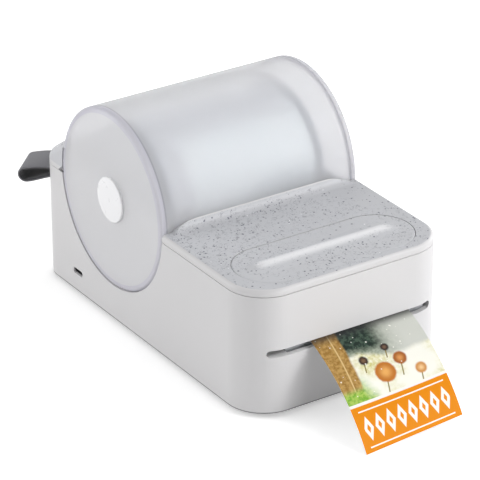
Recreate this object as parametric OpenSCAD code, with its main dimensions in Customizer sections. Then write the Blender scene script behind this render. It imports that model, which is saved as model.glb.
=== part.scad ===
// Compact photo printer with a frosted drum cover over its paper cassette.
// The front, with the paper mouth, faces -Y. The table is z = 0.
// The origin is on the underside of the foot, below the middle of the body.

/* [Body] */
// Width of the body, left to right
body_w = 102; // [100:1:108]
// Depth of the body, front to back
body_d = 172; // [170:1:180]
// Height of the deck above the table
deck_z = 60.5; // [60:0.5:62]
// Corner radius at the front, seen from above
front_r = 18; // [14:1:20]
// Corner radius at the back, seen from above
rear_r = 10; // [9:1:12]
// Wall of the housing
wall = 2.2; // [1.8:0.1:2.6]
// Height of the band of the deck cap above the seam
cap_band = 3.5; // [3.2:0.1:3.8]
// Radius of the deck cap's upper edge
cap_edge_r = 2; // [1:0.5:2.5]
// Thickness of the deck cap's top
cap_t = 2.4; // [2:0.1:2.6]
// Depth of the cap's skirt inside the housing
skirt_d = 3; // [2:0.5:4]
// Thickness of the skirt
skirt_t = 1.5; // [1.2:0.1:2]
// Share of the depth that the deck takes, from the front face to the drum
deck_share = 0.4052; // [0.4:0.0002:0.42]
// Height of the lip that the drum cover closes on
lip_h = 3.8; // [2:0.2:4.6]
// Depth of the lip
lip_d = 5; // [4:0.5:7]
// Half width over which the lip keeps its full height
lip_flat = 33; // [28:1:35]
// Radius by which the lip falls away at its ends
lip_end_r = 26; // [20:1:28]
// Thickness of the base plate
base_t = 2.2; // [1.8:0.1:2.6]
// Thickness of the rubber foot
foot_t = 2; // [1.5:0.1:2.5]
// Distance from the body's edge to the foot
foot_inset = 8; // [6:1:8]
// Clearance between pieces that move past each other
part_gap = 0.3; // [0.25:0.05:0.35]
// Clearance between fixed pieces
seat_gap = 0.2; // [0.1:0.05:0.25]

/* [Drum cover] */
// Outer radius of the drum
drum_r = 41.8; // [41:0.2:42.6]
// Wall of the drum shell
cover_t = 2.2; // [1.6:0.1:2.6]
// Thickness of the end discs
disc_t = 2.5; // [2:0.1:3]
// Angle at which the opaque cap meets the drum, above level
hood_angle = 20; // [16:1:26]
// Radius of the hood's rounded shoulder
hood_r = 8; // [6:0.5:9]
// Wall of the hood
hood_t = 2; // [1.6:0.1:2.4]
// Radius of the blank badge on the left disc
badge_r = 10.4; // [8:0.2:12]
// Height of the badge above the disc
badge_h = 0.7; // [0.4:0.1:1]
// Depth of the badge's seat
badge_seat = 0.5; // [0.3:0.1:0.8]
// Wall of the cheeks behind the discs
cheek_t = 2; // [1.6:0.1:2.4]

/* [Hinge] */
// Radius of the hinge pins
pin_r = 1; // [0.8:0.1:1.2]
// Radius of the hinge knuckles
knuckle_r = 2.5; // [2.3:0.1:2.8]
// Distance of the hinge axis behind the rear wall
hinge_out = 1.5; // [1.2:0.1:2]
// Distance of each hinge from the middle
hinge_x = 30; // [24:1:34]
// Length of the middle knuckle
knuckle_mid = 8; // [6:1:10]
// Length of the outer knuckles
knuckle_end = 4; // [3:0.5:5]
// Radial clearance of a shaft in its bore
run_gap = 0.05; // [0.03:0.01:0.08]

/* [Mouth and paper] */
// Distance of the mouth's ends from the sides
mouth_inset = 9; // [8:0.5:13]
// Height of the mouth
mouth_h = 3.4; // [3.2:0.1:4]
// Height of the middle of the mouth above the table
mouth_z = 30.2; // [29.8:0.1:30.6]
// Width of the paper
paper_w = 50.8; // [48:0.4:54]
// Sideways place of the paper's middle
paper_x = 4.5; // [2:0.5:6]
// Thickness of the paper
paper_t = 0.3; // [0.2:0.05:0.3]
// Height of the paper's level run inside the printer
web_z = 33.2; // [33:0.1:33.4]
// Radius of the bend before the mouth
bend_r = 24; // [22:1:26]
// Angle by which the paper has turned down at the bend's end
bend_angle = 24.5; // [22:0.5:26]
// Distance of the bend's end behind the front face
bend_end = 2; // [1:0.5:3]
// Radius of the hanging part of the strip
droop_r = 158; // [140:2:180]
// Height of the strip's tip above the table
tip_z = 0.6; // [0.5:0.1:2]
// Height of the tear bar's teeth above its blade
tooth_h = 0.9; // [0.6:0.1:1.2]
// Pitch of the teeth
tooth_pitch = 1.5; // [1.2:0.1:2]
// Thickness of the blade
blade_t = 0.6; // [0.5:0.1:0.8]
// Reach of the tear bar beyond the paper's left edge
bar_left = 10.6; // [8:0.2:11]
// Reach of the tear bar beyond the paper's right edge
bar_right = 10; // [4:0.2:10.4]
// Depth of the tear bar's shelf
bar_d = 3.6; // [3:0.1:3.8]
// Height of the blade
blade_h = 4; // [3:0.2:5]

/* [Button] */
// Half length of the long button
button_a = 43.8; // [40:0.2:44.4]
// Half depth of the button
button_b = 16.8; // [15:0.2:17.4]
// Distance from the front face to the middle of the button
button_y = 21.3; // [20.5:0.1:23]
// Thickness of the button's plate
button_t = 2.6; // [2.4:0.1:3]
// Travel of the button
button_travel = 1.2; // [0.8:0.1:1.4]
// Height of the raised bar on the button
bar_h = 2; // [1:0.2:2.4]
// Radius of the raised bar
bar_r = 10; // [8:0.5:12]
// Half distance between the bar's end centres
bar_a = 30; // [26:1:32]
// Overlap of the button's flange under the cap
flange_w = 1; // [0.8:0.1:1.2]
// Thickness of the flange
flange_t = 1.2; // [1:0.1:1.4]
// Half distance between the two rubber domes
dome_x = 20; // [16:1:26]
// Radius of a dome's foot
dome_r = 4; // [3:0.2:5]

/* [Cassette and roll] */
// Outer radius of the cassette
cassette_r = 32; // [31.5:0.1:32.6]
// Gap between the cassette's end plates and the saddles
cassette_play = 3.4; // [2:0.2:4]
// Wall of the cassette
cassette_t = 2; // [1.6:0.1:2.4]
// Thickness of the cassette's end plates
end_t = 2; // [1.6:0.1:2.4]
// Radius of the hubs that lie in the saddles
hub_r = 6; // [5:0.2:7]
// Inner radius of the roll's core
core_bore = 9; // [8:0.2:10]
// Wall of the core
core_t = 2; // [1.5:0.1:2.5]
// Wall of the cradle
cradle_t = 1.8; // [1.5:0.1:2]
// Gap between the cassette and the cradle
cradle_gap = 2.5; // [2:0.1:3]
// Thickness of the saddle plates
saddle_t = 2.4; // [2:0.1:3]

/* [Print engine] */
// Half width of the chassis over its side plates
frame_x = 38; // [37:0.5:39]
// Thickness of the chassis plates
frame_t = 1.2; // [1:0.1:1.4]
// Height of the chassis floor above the table
frame_z = 12; // [11:0.5:12.5]
// Height of the chassis top above the table
frame_top = 47.5; // [46.5:0.5:48]
// Distance of the chassis behind the front face
frame_front = 8; // [8:0.5:9]
// Depth of the chassis
frame_d = 42; // [40:1:44]
// Radius of the platen's rubber
platen_r = 5; // [4.6:0.1:5.2]
// Radius of the platen's shaft
shaft_r = 2; // [1.6:0.1:2.2]
// Distance of the platen's axis behind the front face
platen_back = 20; // [19:0.5:21]
// Radius of the pinch roller's rubber
pinch_r = 4; // [3.6:0.1:4.2]
// Radius of the pinch roller's shaft
pinch_shaft_r = 1.5; // [1.2:0.1:1.8]
// Distance of the pinch roller's axis behind the front face
pinch_back = 42; // [41:0.5:43]
// Radius of the motor's can
motor_r = 8; // [7:0.2:8.4]
// Length of the motor
motor_l = 28; // [24:1:32]
// Distance of the motor's axis behind the front face
motor_back = 39; // [38.5:0.5:40]
// Height of the motor's axis above the table
motor_z = 23.5; // [23:0.5:24]
// Radius of the motor's shaft
motor_shaft_r = 1; // [0.8:0.1:1.2]
// Module of the gears
gear_m = 0.7; // [0.68:0.01:0.72]
// Teeth of the platen gear
platen_teeth = 22; // [20:1:24]
// Teeth of the idler gear
idler_teeth = 18; // [16:1:20]
// Teeth of the motor pinion
pinion_teeth = 12; // [12:1:14]
// Width of the gears
gear_w = 3.4; // [2.6:0.2:3.6]
// Depth of the print head's bar
head_d = 11; // [9:0.5:12]
// Height of the print head's bar
head_h = 3.6; // [3:0.2:4]
// Height of the heat sink's fins
fin_h = 3; // [2:0.2:3.4]

/* [Electronics] */
// Thickness of the circuit boards
board_t = 1.6; // [1.2:0.1:1.8]
// Width of the battery pack
battery_w = 56; // [50:1:60]
// Depth of the battery pack
battery_d = 62; // [56:1:64]
// Width of the main board
board_w = 84; // [76:1:86]
// Depth of the main board
board_d = 25; // [22:0.5:26]
// Thickness of the larger chips
chip_t = 1.4; // [1:0.1:2]
// Height of the battery pack
battery_h = 13.6; // [12:0.2:14]
// Length of the side socket's opening
port_l = 8; // [7.4:0.1:9]
// Height of the side socket's opening
port_h = 2.8; // [2.6:0.1:3.4]
// Distance of the side socket in front of the rear face
port_y = 30; // [28:0.5:31]
// Height of the side socket's middle above the table
port_z = 11.7; // [11.4:0.1:12.4]

/* [Strap] */
// Width of the strap's webbing
strap_w = 17.6; // [15:0.2:21]
// Thickness of the webbing
strap_t = 1.4; // [1:0.1:1.6]
// Length of the loop outside the housing
strap_out = 15.4; // [12:0.2:18]
// Outer radius of the loop's end
loop_r = 3.7; // [3.4:0.1:4.2]
// Drop of the loop's end below its root
loop_drop = 2.1; // [1:0.1:3]
// Distance of the strap's root below the seam
strap_below = 6.6; // [6:0.1:8]
// Length of the strap inside the housing
strap_in = 8; // [6:0.5:9]

/* [Hidden] */
$fn = 96;
eps = 0.01;

front_y = -body_d / 2;
rear_y = body_d / 2;
base_z = foot_t;
seam_z = deck_z - cap_band;
plate_top = base_z + base_t;
drum_y = front_y + body_d * deck_share + drum_r;
drum_z = deck_z;
shell_x = body_w / 2 - disc_t;
recess_x = shell_x - part_gap;
recess_r = drum_r + part_gap;
mouth_x = body_w / 2 - mouth_inset;
cradle_x = recess_x - cheek_t - part_gap;
saddle_x = cradle_x - saddle_t;
cassette_x = saddle_x - cassette_play - end_t;
hinge_y = rear_y + hinge_out;
hinge_z = seam_z;
pill_y = front_y + button_y;
frame_y = front_y + frame_front;

// printed strip: a level run, a bend of radius bend_r, then an arc of droop_r
bend_y = front_y + bend_end + bend_r * sin(bend_angle);
bend_low = web_z - bend_r * (1 - cos(bend_angle));
droop_y = front_y + bend_end + droop_r * sin(bend_angle);
droop_z = bend_low - droop_r * cos(bend_angle);
tip_angle = acos((tip_z - droop_z) / droop_r);
roll_r = drum_z - web_z - paper_t / 2 - seat_gap;

// rollers and the gear train on the left side plate
platen_y = front_y + platen_back;
platen_z = web_z - paper_t / 2 - seat_gap - platen_r;
roller_half = paper_w / 2 + 2.6;
pinch_y = front_y + pinch_back;
pinch_z = web_z + paper_t / 2 + seat_gap + pinch_r;
motor_y = front_y + motor_back;
platen_pr = gear_m * platen_teeth / 2;
idler_pr = gear_m * idler_teeth / 2;
pinion_pr = gear_m * pinion_teeth / 2;
train_a = platen_pr + idler_pr;
train_b = idler_pr + pinion_pr;
train_d = norm([motor_y - platen_y, motor_z - platen_z]);
train_angle = atan2(motor_z - platen_z, motor_y - platen_y);
idler_turn = acos((train_a * train_a + train_d * train_d - train_b * train_b) / (2 * train_a * train_d));
idler_dir = train_angle + idler_turn;
idler_y = platen_y + train_a * cos(idler_dir);
idler_z = platen_z + train_a * sin(idler_dir);
pinion_dir = atan2(motor_z - idler_z, motor_y - idler_y);
gear_x = -frame_x - 0.9 - gear_w;
idler_phase = idler_dir + 180 + 180 / idler_teeth;
idler_miss = phase_error(pinion_dir, idler_phase, idler_teeth);
pinion_phase = pinion_dir + 180 - idler_miss * idler_teeth / pinion_teeth + 180 / pinion_teeth;

head_z = web_z + paper_t / 2 + seat_gap;
sink_z = head_z + head_h + 0.1;
sink_t = 1.4;
button_under = deck_z - button_t;
flange_z = deck_z - cap_t - part_gap;
board_lift = 1.9;
button_board_z = frame_top + board_lift;
dome_z = button_board_z + board_t;
dome_h = 3.7;
strap_z = seam_z - strap_below;
corner_x = -body_w / 2 + rear_r;
corner_y = rear_y - rear_r;
strap_edge = 1;
main_board_z = plate_top + 3;
guide_top = web_z - paper_t / 2 - seat_gap;
bar_x0 = paper_x - paper_w / 2 - bar_left;
bar_x1 = paper_x + paper_w / 2 + bar_right;
bar_z = mouth_z - 0.7;
// the bar stands clear of the front wall, which curves inwards at the corners
bar_past = max(0, bar_x1 - body_w / 2 + front_r);
bar_y = front_y + front_r - sqrt(pow(front_r - wall, 2) - bar_past * bar_past) + seat_gap;

// distance, in degrees, from the direction to the nearest tooth of a gear
function phase_error(direction, phase, teeth) =
    let (pitch = 360 / teeth, off = (phase - direction) / pitch)
    (off - round(off)) * pitch;

// polar half angle of an involute flank at radius r
function unroll(r, base_r) = sqrt(max(r * r / (base_r * base_r) - 1, 0));
function involute_angle(r, base_r) = unroll(r, base_r) * 180 / PI - atan(unroll(r, base_r));
function flank_angle(r, pitch_r, base_r, teeth) =
    84 / teeth + involute_angle(pitch_r, base_r) - involute_angle(r, base_r);
function polar(r, a) = [r * cos(a), r * sin(a)];

// the body seen from above, moved in by an inset
module body_plan(inset = 0) {
    translate([-body_w / 2 + inset, front_y + front_r])
        square([body_w - 2 * inset, body_d - front_r - rear_r]);
    translate([-body_w / 2 + front_r, front_y + inset])
        square([body_w - 2 * front_r, front_r]);
    translate([-body_w / 2 + rear_r, rear_y - rear_r - 1])
        square([body_w - 2 * rear_r, rear_r + 1 - inset]);
    for (side = [-1, 1]) {
        translate([side * (body_w / 2 - front_r), front_y + front_r]) circle(front_r - inset);
        translate([side * (body_w / 2 - rear_r), rear_y - rear_r]) circle(rear_r - inset);
    }
}

module body_block(inset, z0, z1) {
    translate([0, 0, z0]) linear_extrude(z1 - z0) body_plan(inset);
}

// a cylinder along X from x0 to x1
module rod(x0, x1, y, z, r) {
    translate([x0, y, z]) rotate([0, 90, 0]) cylinder(r = r, h = x1 - x0);
}

module box(low, high) {
    translate(low) cube(high - low);
}

// a profile drawn in (y, z), drawn out along X from x0 to x1
module along_x(x0, x1) {
    translate([x0, 0, 0]) rotate([90, 0, 90]) linear_extrude(x1 - x0) children();
}

module pill(a, b) {
    square([2 * (a - b), 2 * b], center = true);
    for (side = [-1, 1]) translate([side * (a - b), 0]) circle(b);
}

module pill_block(a, b, z0, z1) {
    translate([0, pill_y, z0]) linear_extrude(z1 - z0) pill(a, b);
}

// where the strap leaves the rear left corner: +X of this frame is outwards
module at_strap() {
    translate([corner_x, corner_y, strap_z])
        rotate([0, 0, 135])
            translate([rear_r, 0, 0])
                children();
}

module strap_slot(grow) {
    at_strap()
        translate([-strap_in - 8, -strap_w + strap_edge - grow, -strap_t - grow])
            cube([strap_in + 8, strap_w + 2 * grow, 2 * (strap_t + grow)]);
}

screw_x = body_w / 2 - wall - 3;
screw_inset = 4;
base_screw_at = [for (side = [-1, 1], y = [front_y + front_r + 6, rear_y - rear_r - 6]) [side * screw_x, y]];
engine_screw_at = [for (side = [-1, 1], y = [frame_y + screw_inset, frame_y + frame_d - screw_inset])
    [side * (frame_x - 2 * screw_inset), y]];
board_y0 = frame_y + frame_d + 3;
board_screw_at = [for (side = [-1, 1], y = [board_y0 + screw_inset, board_y0 + board_d - screw_inset])
    [side * (board_w / 2 - screw_inset), y]];
screw_r = 1.1;
screw_head_r = 2.2;
screw_head_h = 1.4;

module base_bosses() {
    for (p = base_screw_at) translate([p[0], p[1], plate_top + seat_gap]) cylinder(r = 3.2, h = 10);
}

module hinge_knuckle(x0, x1, up) {
    rod(x0, x1, hinge_y, hinge_z, knuckle_r);
    z0 = up ? hinge_z + seat_gap : hinge_z - knuckle_r;
    box([x0, rear_y - wall, z0], [x1, hinge_y, z0 + knuckle_r - (up ? seat_gap : 0)]);
}

// the shelf that carries on from the mouth's lower lip, on the tear bar's left
module throat_floor(x0, x1) {
    low = mouth_z - mouth_h / 2;
    intersection() {
        box([x0, front_y + wall / 2, low - 1.2], [x1, frame_y - seat_gap, low]);
        body_block(wall / 2, base_z, seam_z);
    }
}

module main_housing() {
    mid = knuckle_mid / 2;
    color("gainsboro") difference() {
        union() {
            difference() {
                union() {
                    difference() {
                        body_block(0, base_z, seam_z);
                        body_block(wall, base_z - 1, seam_z + 1);
                    }
                    intersection() {
                        for (side = [-1, 1])
                            rod(side > 0 ? recess_x - cheek_t : -body_w / 2,
                                side > 0 ? body_w / 2 : -recess_x + cheek_t,
                                drum_y, drum_z, recess_r + cheek_t);
                        body_block(0, base_z, seam_z);
                    }
                }
                rod(-body_w / 2 - 1, -recess_x, drum_y, drum_z, recess_r);
                rod(recess_x, body_w / 2 + 1, drum_y, drum_z, recess_r);
            }
            base_bosses();
            throat_floor(-mouth_x + mouth_h / 2, bar_x0 - seat_gap);
            for (side = [-1, 1], end = [-1, 1]) {
                x = side * hinge_x + end * (mid + part_gap + knuckle_end / 2);
                hinge_knuckle(x - knuckle_end / 2, x + knuckle_end / 2, false);
            }
        }
        for (p = base_screw_at)
            translate([p[0], p[1], base_z]) cylinder(r = screw_r - 0.1, h = 9);
        for (side = [-1, 1]) {
            rod(side * hinge_x - mid - part_gap, side * hinge_x + mid + part_gap,
                hinge_y, hinge_z, knuckle_r + part_gap);
            rod(side * hinge_x - 20, side * hinge_x + 20, hinge_y, hinge_z, pin_r + 0.02);
        }
        box([-mouth_x + mouth_h / 2, front_y - 1, mouth_z - mouth_h / 2],
            [mouth_x - mouth_h / 2, front_y + 9, mouth_z + mouth_h / 2]);
        for (side = [-1, 1])
            translate([side * (mouth_x - mouth_h / 2), front_y + 9, mouth_z])
                rotate([90, 0, 0]) cylinder(r = mouth_h / 2, h = 10);
        translate([-body_w / 2 - 1, rear_y - port_y, port_z]) rotate([90, 0, 90])
            linear_extrude(wall + 2) pill(port_l / 2, port_h / 2);
        strap_slot(seat_gap);
    }
}

// the cap's outline at height t above the seam, with its rounded upper edge
module cap_slab() {
    steps = 6;
    body_block(0, seam_z + seat_gap, deck_z - cap_edge_r);
    for (i = [0 : steps - 1]) {
        a0 = 90 * i / steps;
        a1 = 90 * (i + 1) / steps;
        hull() {
            body_block(cap_edge_r * (1 - cos(a0)), deck_z - cap_edge_r * (1 - sin(a0)) - eps,
                deck_z - cap_edge_r * (1 - sin(a0)));
            body_block(cap_edge_r * (1 - cos(a1)), deck_z - cap_edge_r * (1 - sin(a1)) - eps,
                deck_z - cap_edge_r * (1 - sin(a1)));
        }
    }
}

// the raised lip, hollowed to meet the deck in a curve and rounded at its ends
module cap_lip() {
    y1 = drum_y - recess_r;
    difference() {
        intersection() {
            box([-body_w / 2 + cap_edge_r, y1 - lip_d, deck_z - 1],
                [body_w / 2 - cap_edge_r, y1 + 2, deck_z + lip_h]);
            translate([0, y1 + 3, deck_z + lip_h - lip_end_r]) rotate([90, 0, 0])
                linear_extrude(lip_d + 6) pill(lip_flat + lip_end_r, lip_end_r);
        }
        rod(-body_w, body_w, y1 - lip_d, deck_z + lip_d, lip_d);
    }
}

module deck_cap() {
    color("silver") difference() {
        union() {
            intersection() {
                cap_slab();
                box([-body_w, front_y - 1, 0], [body_w, drum_y, deck_z + 1]);
            }
            difference() {
                body_block(wall + seat_gap, seam_z - skirt_d, seam_z + 1);
                body_block(wall + seat_gap + skirt_t, seam_z - skirt_d - 1, seam_z + 2);
            }
            cap_lip();
        }
        body_block(wall + seat_gap + skirt_t, seam_z - skirt_d - 1, deck_z - cap_t);
        rod(-body_w, body_w, drum_y, drum_z, recess_r);
        box([-body_w, drum_y - recess_r, 0], [body_w, rear_y + 1, 2 * deck_z]);
        pill_block(button_a + part_gap, button_b + part_gap, deck_z - cap_t - 1, deck_z + lip_h);
        pill_block(button_a + flange_w + part_gap, button_b + flange_w + part_gap,
            seam_z - skirt_d - 1, deck_z - cap_t);
        box([-body_w, drum_y - recess_r - cheek_t - seat_gap, 0], [body_w, rear_y, seam_z + seat_gap]);
    }
}

module base_plate() {
    color("dimgray") difference() {
        union() {
            body_block(wall + seat_gap, base_z, plate_top);
            for (p = engine_screw_at) translate([p[0], p[1], base_z]) cylinder(r = 3, h = frame_z - base_z);
            for (p = board_screw_at)
                translate([p[0], p[1], base_z]) cylinder(r = 2.6, h = main_board_z - base_z);
        }
        for (p = base_screw_at) {
            translate([p[0], p[1], base_z - 1]) cylinder(r = screw_r + 0.15, h = base_t + 2);
            translate([p[0], p[1], base_z - 1]) cylinder(r = screw_head_r + 0.2, h = screw_head_h + 1);
        }
        for (p = engine_screw_at) translate([p[0], p[1], frame_z - 6]) cylinder(r = screw_r, h = 7);
        for (p = board_screw_at) translate([p[0], p[1], main_board_z - 4]) cylinder(r = screw_r, h = 5);
    }
}

module rubber_foot() {
    color("dimgray") body_block(foot_inset, 0, foot_t);
}

// a pan head at z0 with its shank going up by length, or down when it is negative
module screw(x, y, z0, length, head_up) {
    translate([x, y, z0]) cylinder(r = screw_head_r, h = screw_head_h);
    translate([x, y, head_up ? z0 - length : z0]) cylinder(r = screw_r - 0.15, h = length + (head_up ? eps : 0));
}

module base_screws() {
    color("gray") for (p = base_screw_at) screw(p[0], p[1], base_z, 8, false);
}

module engine_screws() {
    color("silver") for (p = engine_screw_at) screw(p[0], p[1], frame_z + frame_t, 6, true);
}

module board_screws() {
    color("silver") for (p = board_screw_at) screw(p[0], p[1], main_board_z + board_t, 5, true);
}

module feed_button() {
    color("silver") {
        difference() {
            union() {
                pill_block(button_a, button_b, button_under, deck_z);
                pill_block(button_a + flange_w, button_b + flange_w, flange_z - flange_t, flange_z);
                pill_block(button_a - 1, button_b - 1, flange_z - flange_t, deck_z - 1);
            }
            pill_block(button_a - 2.5, button_b - 2.5, flange_z - flange_t - 1, button_under);
        }
        for (side = [-1, 1]) {
            translate([side * dome_x, pill_y, dome_z + dome_h + 0.1])
                cylinder(r = 2.4, h = button_under + 0.5 - dome_z - dome_h);
        }
        intersection() {
            union() {
                rod(-bar_a, bar_a, pill_y, deck_z + bar_h - bar_r, bar_r);
                for (side = [-1, 1]) translate([side * bar_a, pill_y, deck_z + bar_h - bar_r]) sphere(bar_r);
            }
            pill_block(button_a - 1, button_b - 1, deck_z - 1, deck_z + bar_h + 1);
        }
    }
}

module button_domes() {
    color("darkgray") for (side = [-1, 1]) translate([side * dome_x, pill_y, dome_z])
        rotate_extrude() polygon([
            [0, dome_h - 1], [1.4, dome_h - 1], [1.8, 1], [3, 0], [dome_r, 0],
            [dome_r, 0.8], [2.8, dome_h], [0, dome_h]]);
}

module button_board() {
    color("seagreen")
        box([-dome_x - 10, pill_y - button_b / 2, button_board_z], [dome_x + 10, pill_y + button_b / 2, dome_z]);
}

module cover_shell() {
    color("lavender", 0.5) difference() {
        rod(-shell_x, shell_x, drum_y, drum_z, drum_r);
        rod(-shell_x - 1, shell_x + 1, drum_y, drum_z, drum_r - cover_t);
        box([-body_w, front_y, 0], [body_w, rear_y, seam_z + part_gap]);
    }
}

module cover_disc(x0, x1) {
    color("lavender", 0.5) rod(x0, x1, drum_y, drum_z, drum_r);
}

module cover_disc_left() {
    difference() {
        cover_disc(-body_w / 2, -shell_x);
        rod(-body_w / 2 - 1, -body_w / 2 + badge_seat, drum_y, drum_z, badge_r + 0.1);
    }
}

module cover_disc_right() {
    cover_disc(shell_x, body_w / 2);
}

module side_badge() {
    color("white") rod(-body_w / 2 - badge_h, -body_w / 2 + badge_seat, drum_y, drum_z, badge_r);
}

// the hood's side outline: drum to shoulder to rear wall, moved in by an inset
module hood_profile(inset) {
    top = [drum_y + drum_r * cos(hood_angle), drum_z + drum_r * sin(hood_angle)];
    mid = [rear_y - hood_r, seam_z - 1];
    span = norm(mid - top);
    aim = atan2(mid[1] - top[1], mid[0] - top[0]) + asin(hood_r / span);
    reach = sqrt(span * span - hood_r * hood_r);
    touch = top + reach * [cos(aim), sin(aim)];
    inward = inset * [cos(aim - 90), sin(aim - 90)];
    intersection() {
        union() {
            polygon([top + inward, touch + inward, mid, [drum_y, mid[1]], [drum_y, drum_z]]);
            translate(mid) circle(hood_r - inset);
        }
        translate([drum_y, seam_z + seat_gap]) square([body_d, drum_r]);
    }
}

module rear_hood() {
    mid = knuckle_mid / 2;
    color("gainsboro") difference() {
        union() {
            difference() {
                intersection() {
                    along_x(-body_w / 2, body_w / 2) hood_profile(0);
                    body_block(0, seam_z, 2 * deck_z);
                }
                intersection() {
                    along_x(-body_w / 2 + hood_t, body_w / 2 - hood_t)
                        union() {
                            hood_profile(hood_t);
                            translate([drum_y, seam_z - 1]) square([drum_r + hood_t, 2]);
                        }
                    body_block(hood_t, seam_z - 1, 2 * deck_z);
                }
            }
            for (side = [-1, 1])
                hinge_knuckle(side * hinge_x - mid, side * hinge_x + mid, true);
        }
        rod(-body_w, body_w, drum_y, drum_z, drum_r + 0.1);
        for (side = [-1, 1]) {
            rod(side * hinge_x - mid - 1, side * hinge_x + mid + 1, hinge_y, hinge_z, pin_r + run_gap);
            for (end = [-1, 1]) {
                x = side * hinge_x + end * (mid + part_gap + knuckle_end / 2);
                rod(x - knuckle_end / 2 - part_gap, x + knuckle_end / 2 + part_gap,
                    hinge_y, hinge_z, knuckle_r + part_gap);
            }
        }
    }
}

module hinge_pins() {
    half = knuckle_mid / 2 + part_gap + knuckle_end;
    color("silver") for (side = [-1, 1])
        rod(side * hinge_x - half, side * hinge_x + half, hinge_y, hinge_z, pin_r);
}

// the loop's outline: a round end drawn down to the flat root
module loop_outline(inset) {
    hull() {
        translate([strap_out - loop_r, -loop_drop]) circle(loop_r - inset, $fn = 32);
        translate([1, 0]) circle(strap_t - inset, $fn = 32);
    }
}

module carry_strap() {
    color("dimgray") difference() {
        union() {
            at_strap() rotate([90, 0, 0]) translate([0, 0, -strap_edge]) linear_extrude(strap_w)
                difference() {
                    loop_outline(0);
                    loop_outline(strap_t - 0.05);
                }
            difference() {
                strap_slot(0);
                at_strap() translate([-40, -40, -5]) cube([40 - strap_in - 8 + 1, 80, 10]);
            }
        }
        strap_cut();
    }
}

// the strap ends on a line parallel to the rear wall, inside the housing
module strap_cut() {
    box([-body_w, 0, 0], [body_w, rear_y - wall - strap_in, 2 * deck_z]);
}

module strap_anchor() {
    y0 = rear_y - wall - strap_in;
    color("gray") difference() {
        box([corner_x, y0, strap_z - strap_t - 2.4],
            [corner_x + 1.45 * strap_w, rear_y - wall, strap_z + strap_t + 2]);
        strap_slot(0.05);
    }
}

module tear_bar() {
    teeth = floor((bar_x1 - bar_x0) / tooth_pitch);
    color("slategray") {
        box([bar_x0, bar_y, bar_z - blade_h], [bar_x1, bar_y + blade_t, bar_z]);
        box([bar_x0, bar_y, bar_z - blade_t], [bar_x1, bar_y + bar_d, bar_z]);
        for (i = [0 : teeth - 1])
            translate([bar_x0 + i * tooth_pitch, bar_y + blade_t, bar_z - eps]) rotate([90, 0, 0])
                linear_extrude(blade_t)
                    polygon([[0.05, 0], [tooth_pitch - 0.05, 0], [tooth_pitch / 2, tooth_h]]);
    }
}

// the strip's side line at a distance from its middle, from the roll to the tip
function arc_points(y, z, r, a0, a1, steps) =
    [for (i = [0 : steps]) let (a = a0 + (a1 - a0) * i / steps) [y - r * sin(a), z + r * cos(a)]];
function strip_line(off) = concat(
    [[drum_y, web_z + off]],
    arc_points(bend_y, web_z - bend_r, bend_r + off, 0, bend_angle - 1, 7),
    arc_points(droop_y, droop_z, droop_r + off, bend_angle, tip_angle, 18));
function backwards(points) = [for (i = [len(points) - 1 : -1 : 0]) points[i]];

module printed_strip() {
    color("orange") along_x(paper_x - paper_w / 2, paper_x + paper_w / 2)
        polygon(concat(strip_line(paper_t / 2), backwards(strip_line(-paper_t / 2))));
}

module paper_roll() {
    color("white") difference() {
        rod(paper_x - paper_w / 2, paper_x + paper_w / 2, drum_y, drum_z, roll_r);
        rod(-body_w, body_w, drum_y, drum_z, core_bore + core_t);
    }
}

module roll_core() {
    color("tan") difference() {
        rod(-cassette_x + 0.2, cassette_x - 0.2, drum_y, drum_z, core_bore + core_t);
        rod(-body_w, body_w, drum_y, drum_z, core_bore);
    }
}

module cassette_body() {
    half = paper_w / 2 + 2;
    color("aliceblue") difference() {
        rod(-cassette_x, cassette_x, drum_y, drum_z, cassette_r);
        rod(-body_w, body_w, drum_y, drum_z, cassette_r - cassette_t);
        box([paper_x - half, drum_y - cassette_r, web_z - 1.4], [paper_x + half, drum_y - 4, web_z + 1.4]);
    }
}

module cassette_ends() {
    color("aliceblue") for (side = [-1, 1]) mirror([side > 0 ? 0 : 1, 0, 0]) {
        rod(cassette_x, cassette_x + end_t, drum_y, drum_z, cassette_r + 0.8);
        rod(cassette_x - 5, cassette_x + eps, drum_y, drum_z, core_bore - run_gap);
        rod(cassette_x + end_t - eps, cradle_x - 0.5, drum_y, drum_z, hub_r);
    }
}

module roll_cradle() {
    inner = cassette_r + cradle_gap;
    outer = inner + cradle_t;
    half = cradle_x;
    slot_half = paper_w / 2 + 1.5;
    color("lightgray") difference() {
        union() {
            intersection() {
                difference() {
                    rod(-half, half, drum_y, drum_z, outer);
                    rod(-body_w, body_w, drum_y, drum_z, inner);
                }
                box([-body_w, front_y, 0], [body_w, rear_y, seam_z - 1]);
            }
            intersection() {
                for (side = [-1, 1]) rod(side > 0 ? half - saddle_t : -half, side > 0 ? half : saddle_t - half,
                    drum_y, drum_z, outer - 0.4);
                box([-body_w, front_y, 0], [body_w, rear_y, drum_z]);
            }
            for (side = [-1, 1])
                box([side > 0 ? half - saddle_t : -half, drum_y - 20, plate_top + seat_gap],
                    [side > 0 ? half : saddle_t - half, drum_y + 14, drum_z - inner + 6]);
        }
        rod(-body_w, body_w, drum_y, drum_z, hub_r + seat_gap);
        box([paper_x - slot_half, front_y, web_z - 1.6], [paper_x + slot_half, drum_y - 15, web_z + 1.6]);
    }
}

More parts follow.
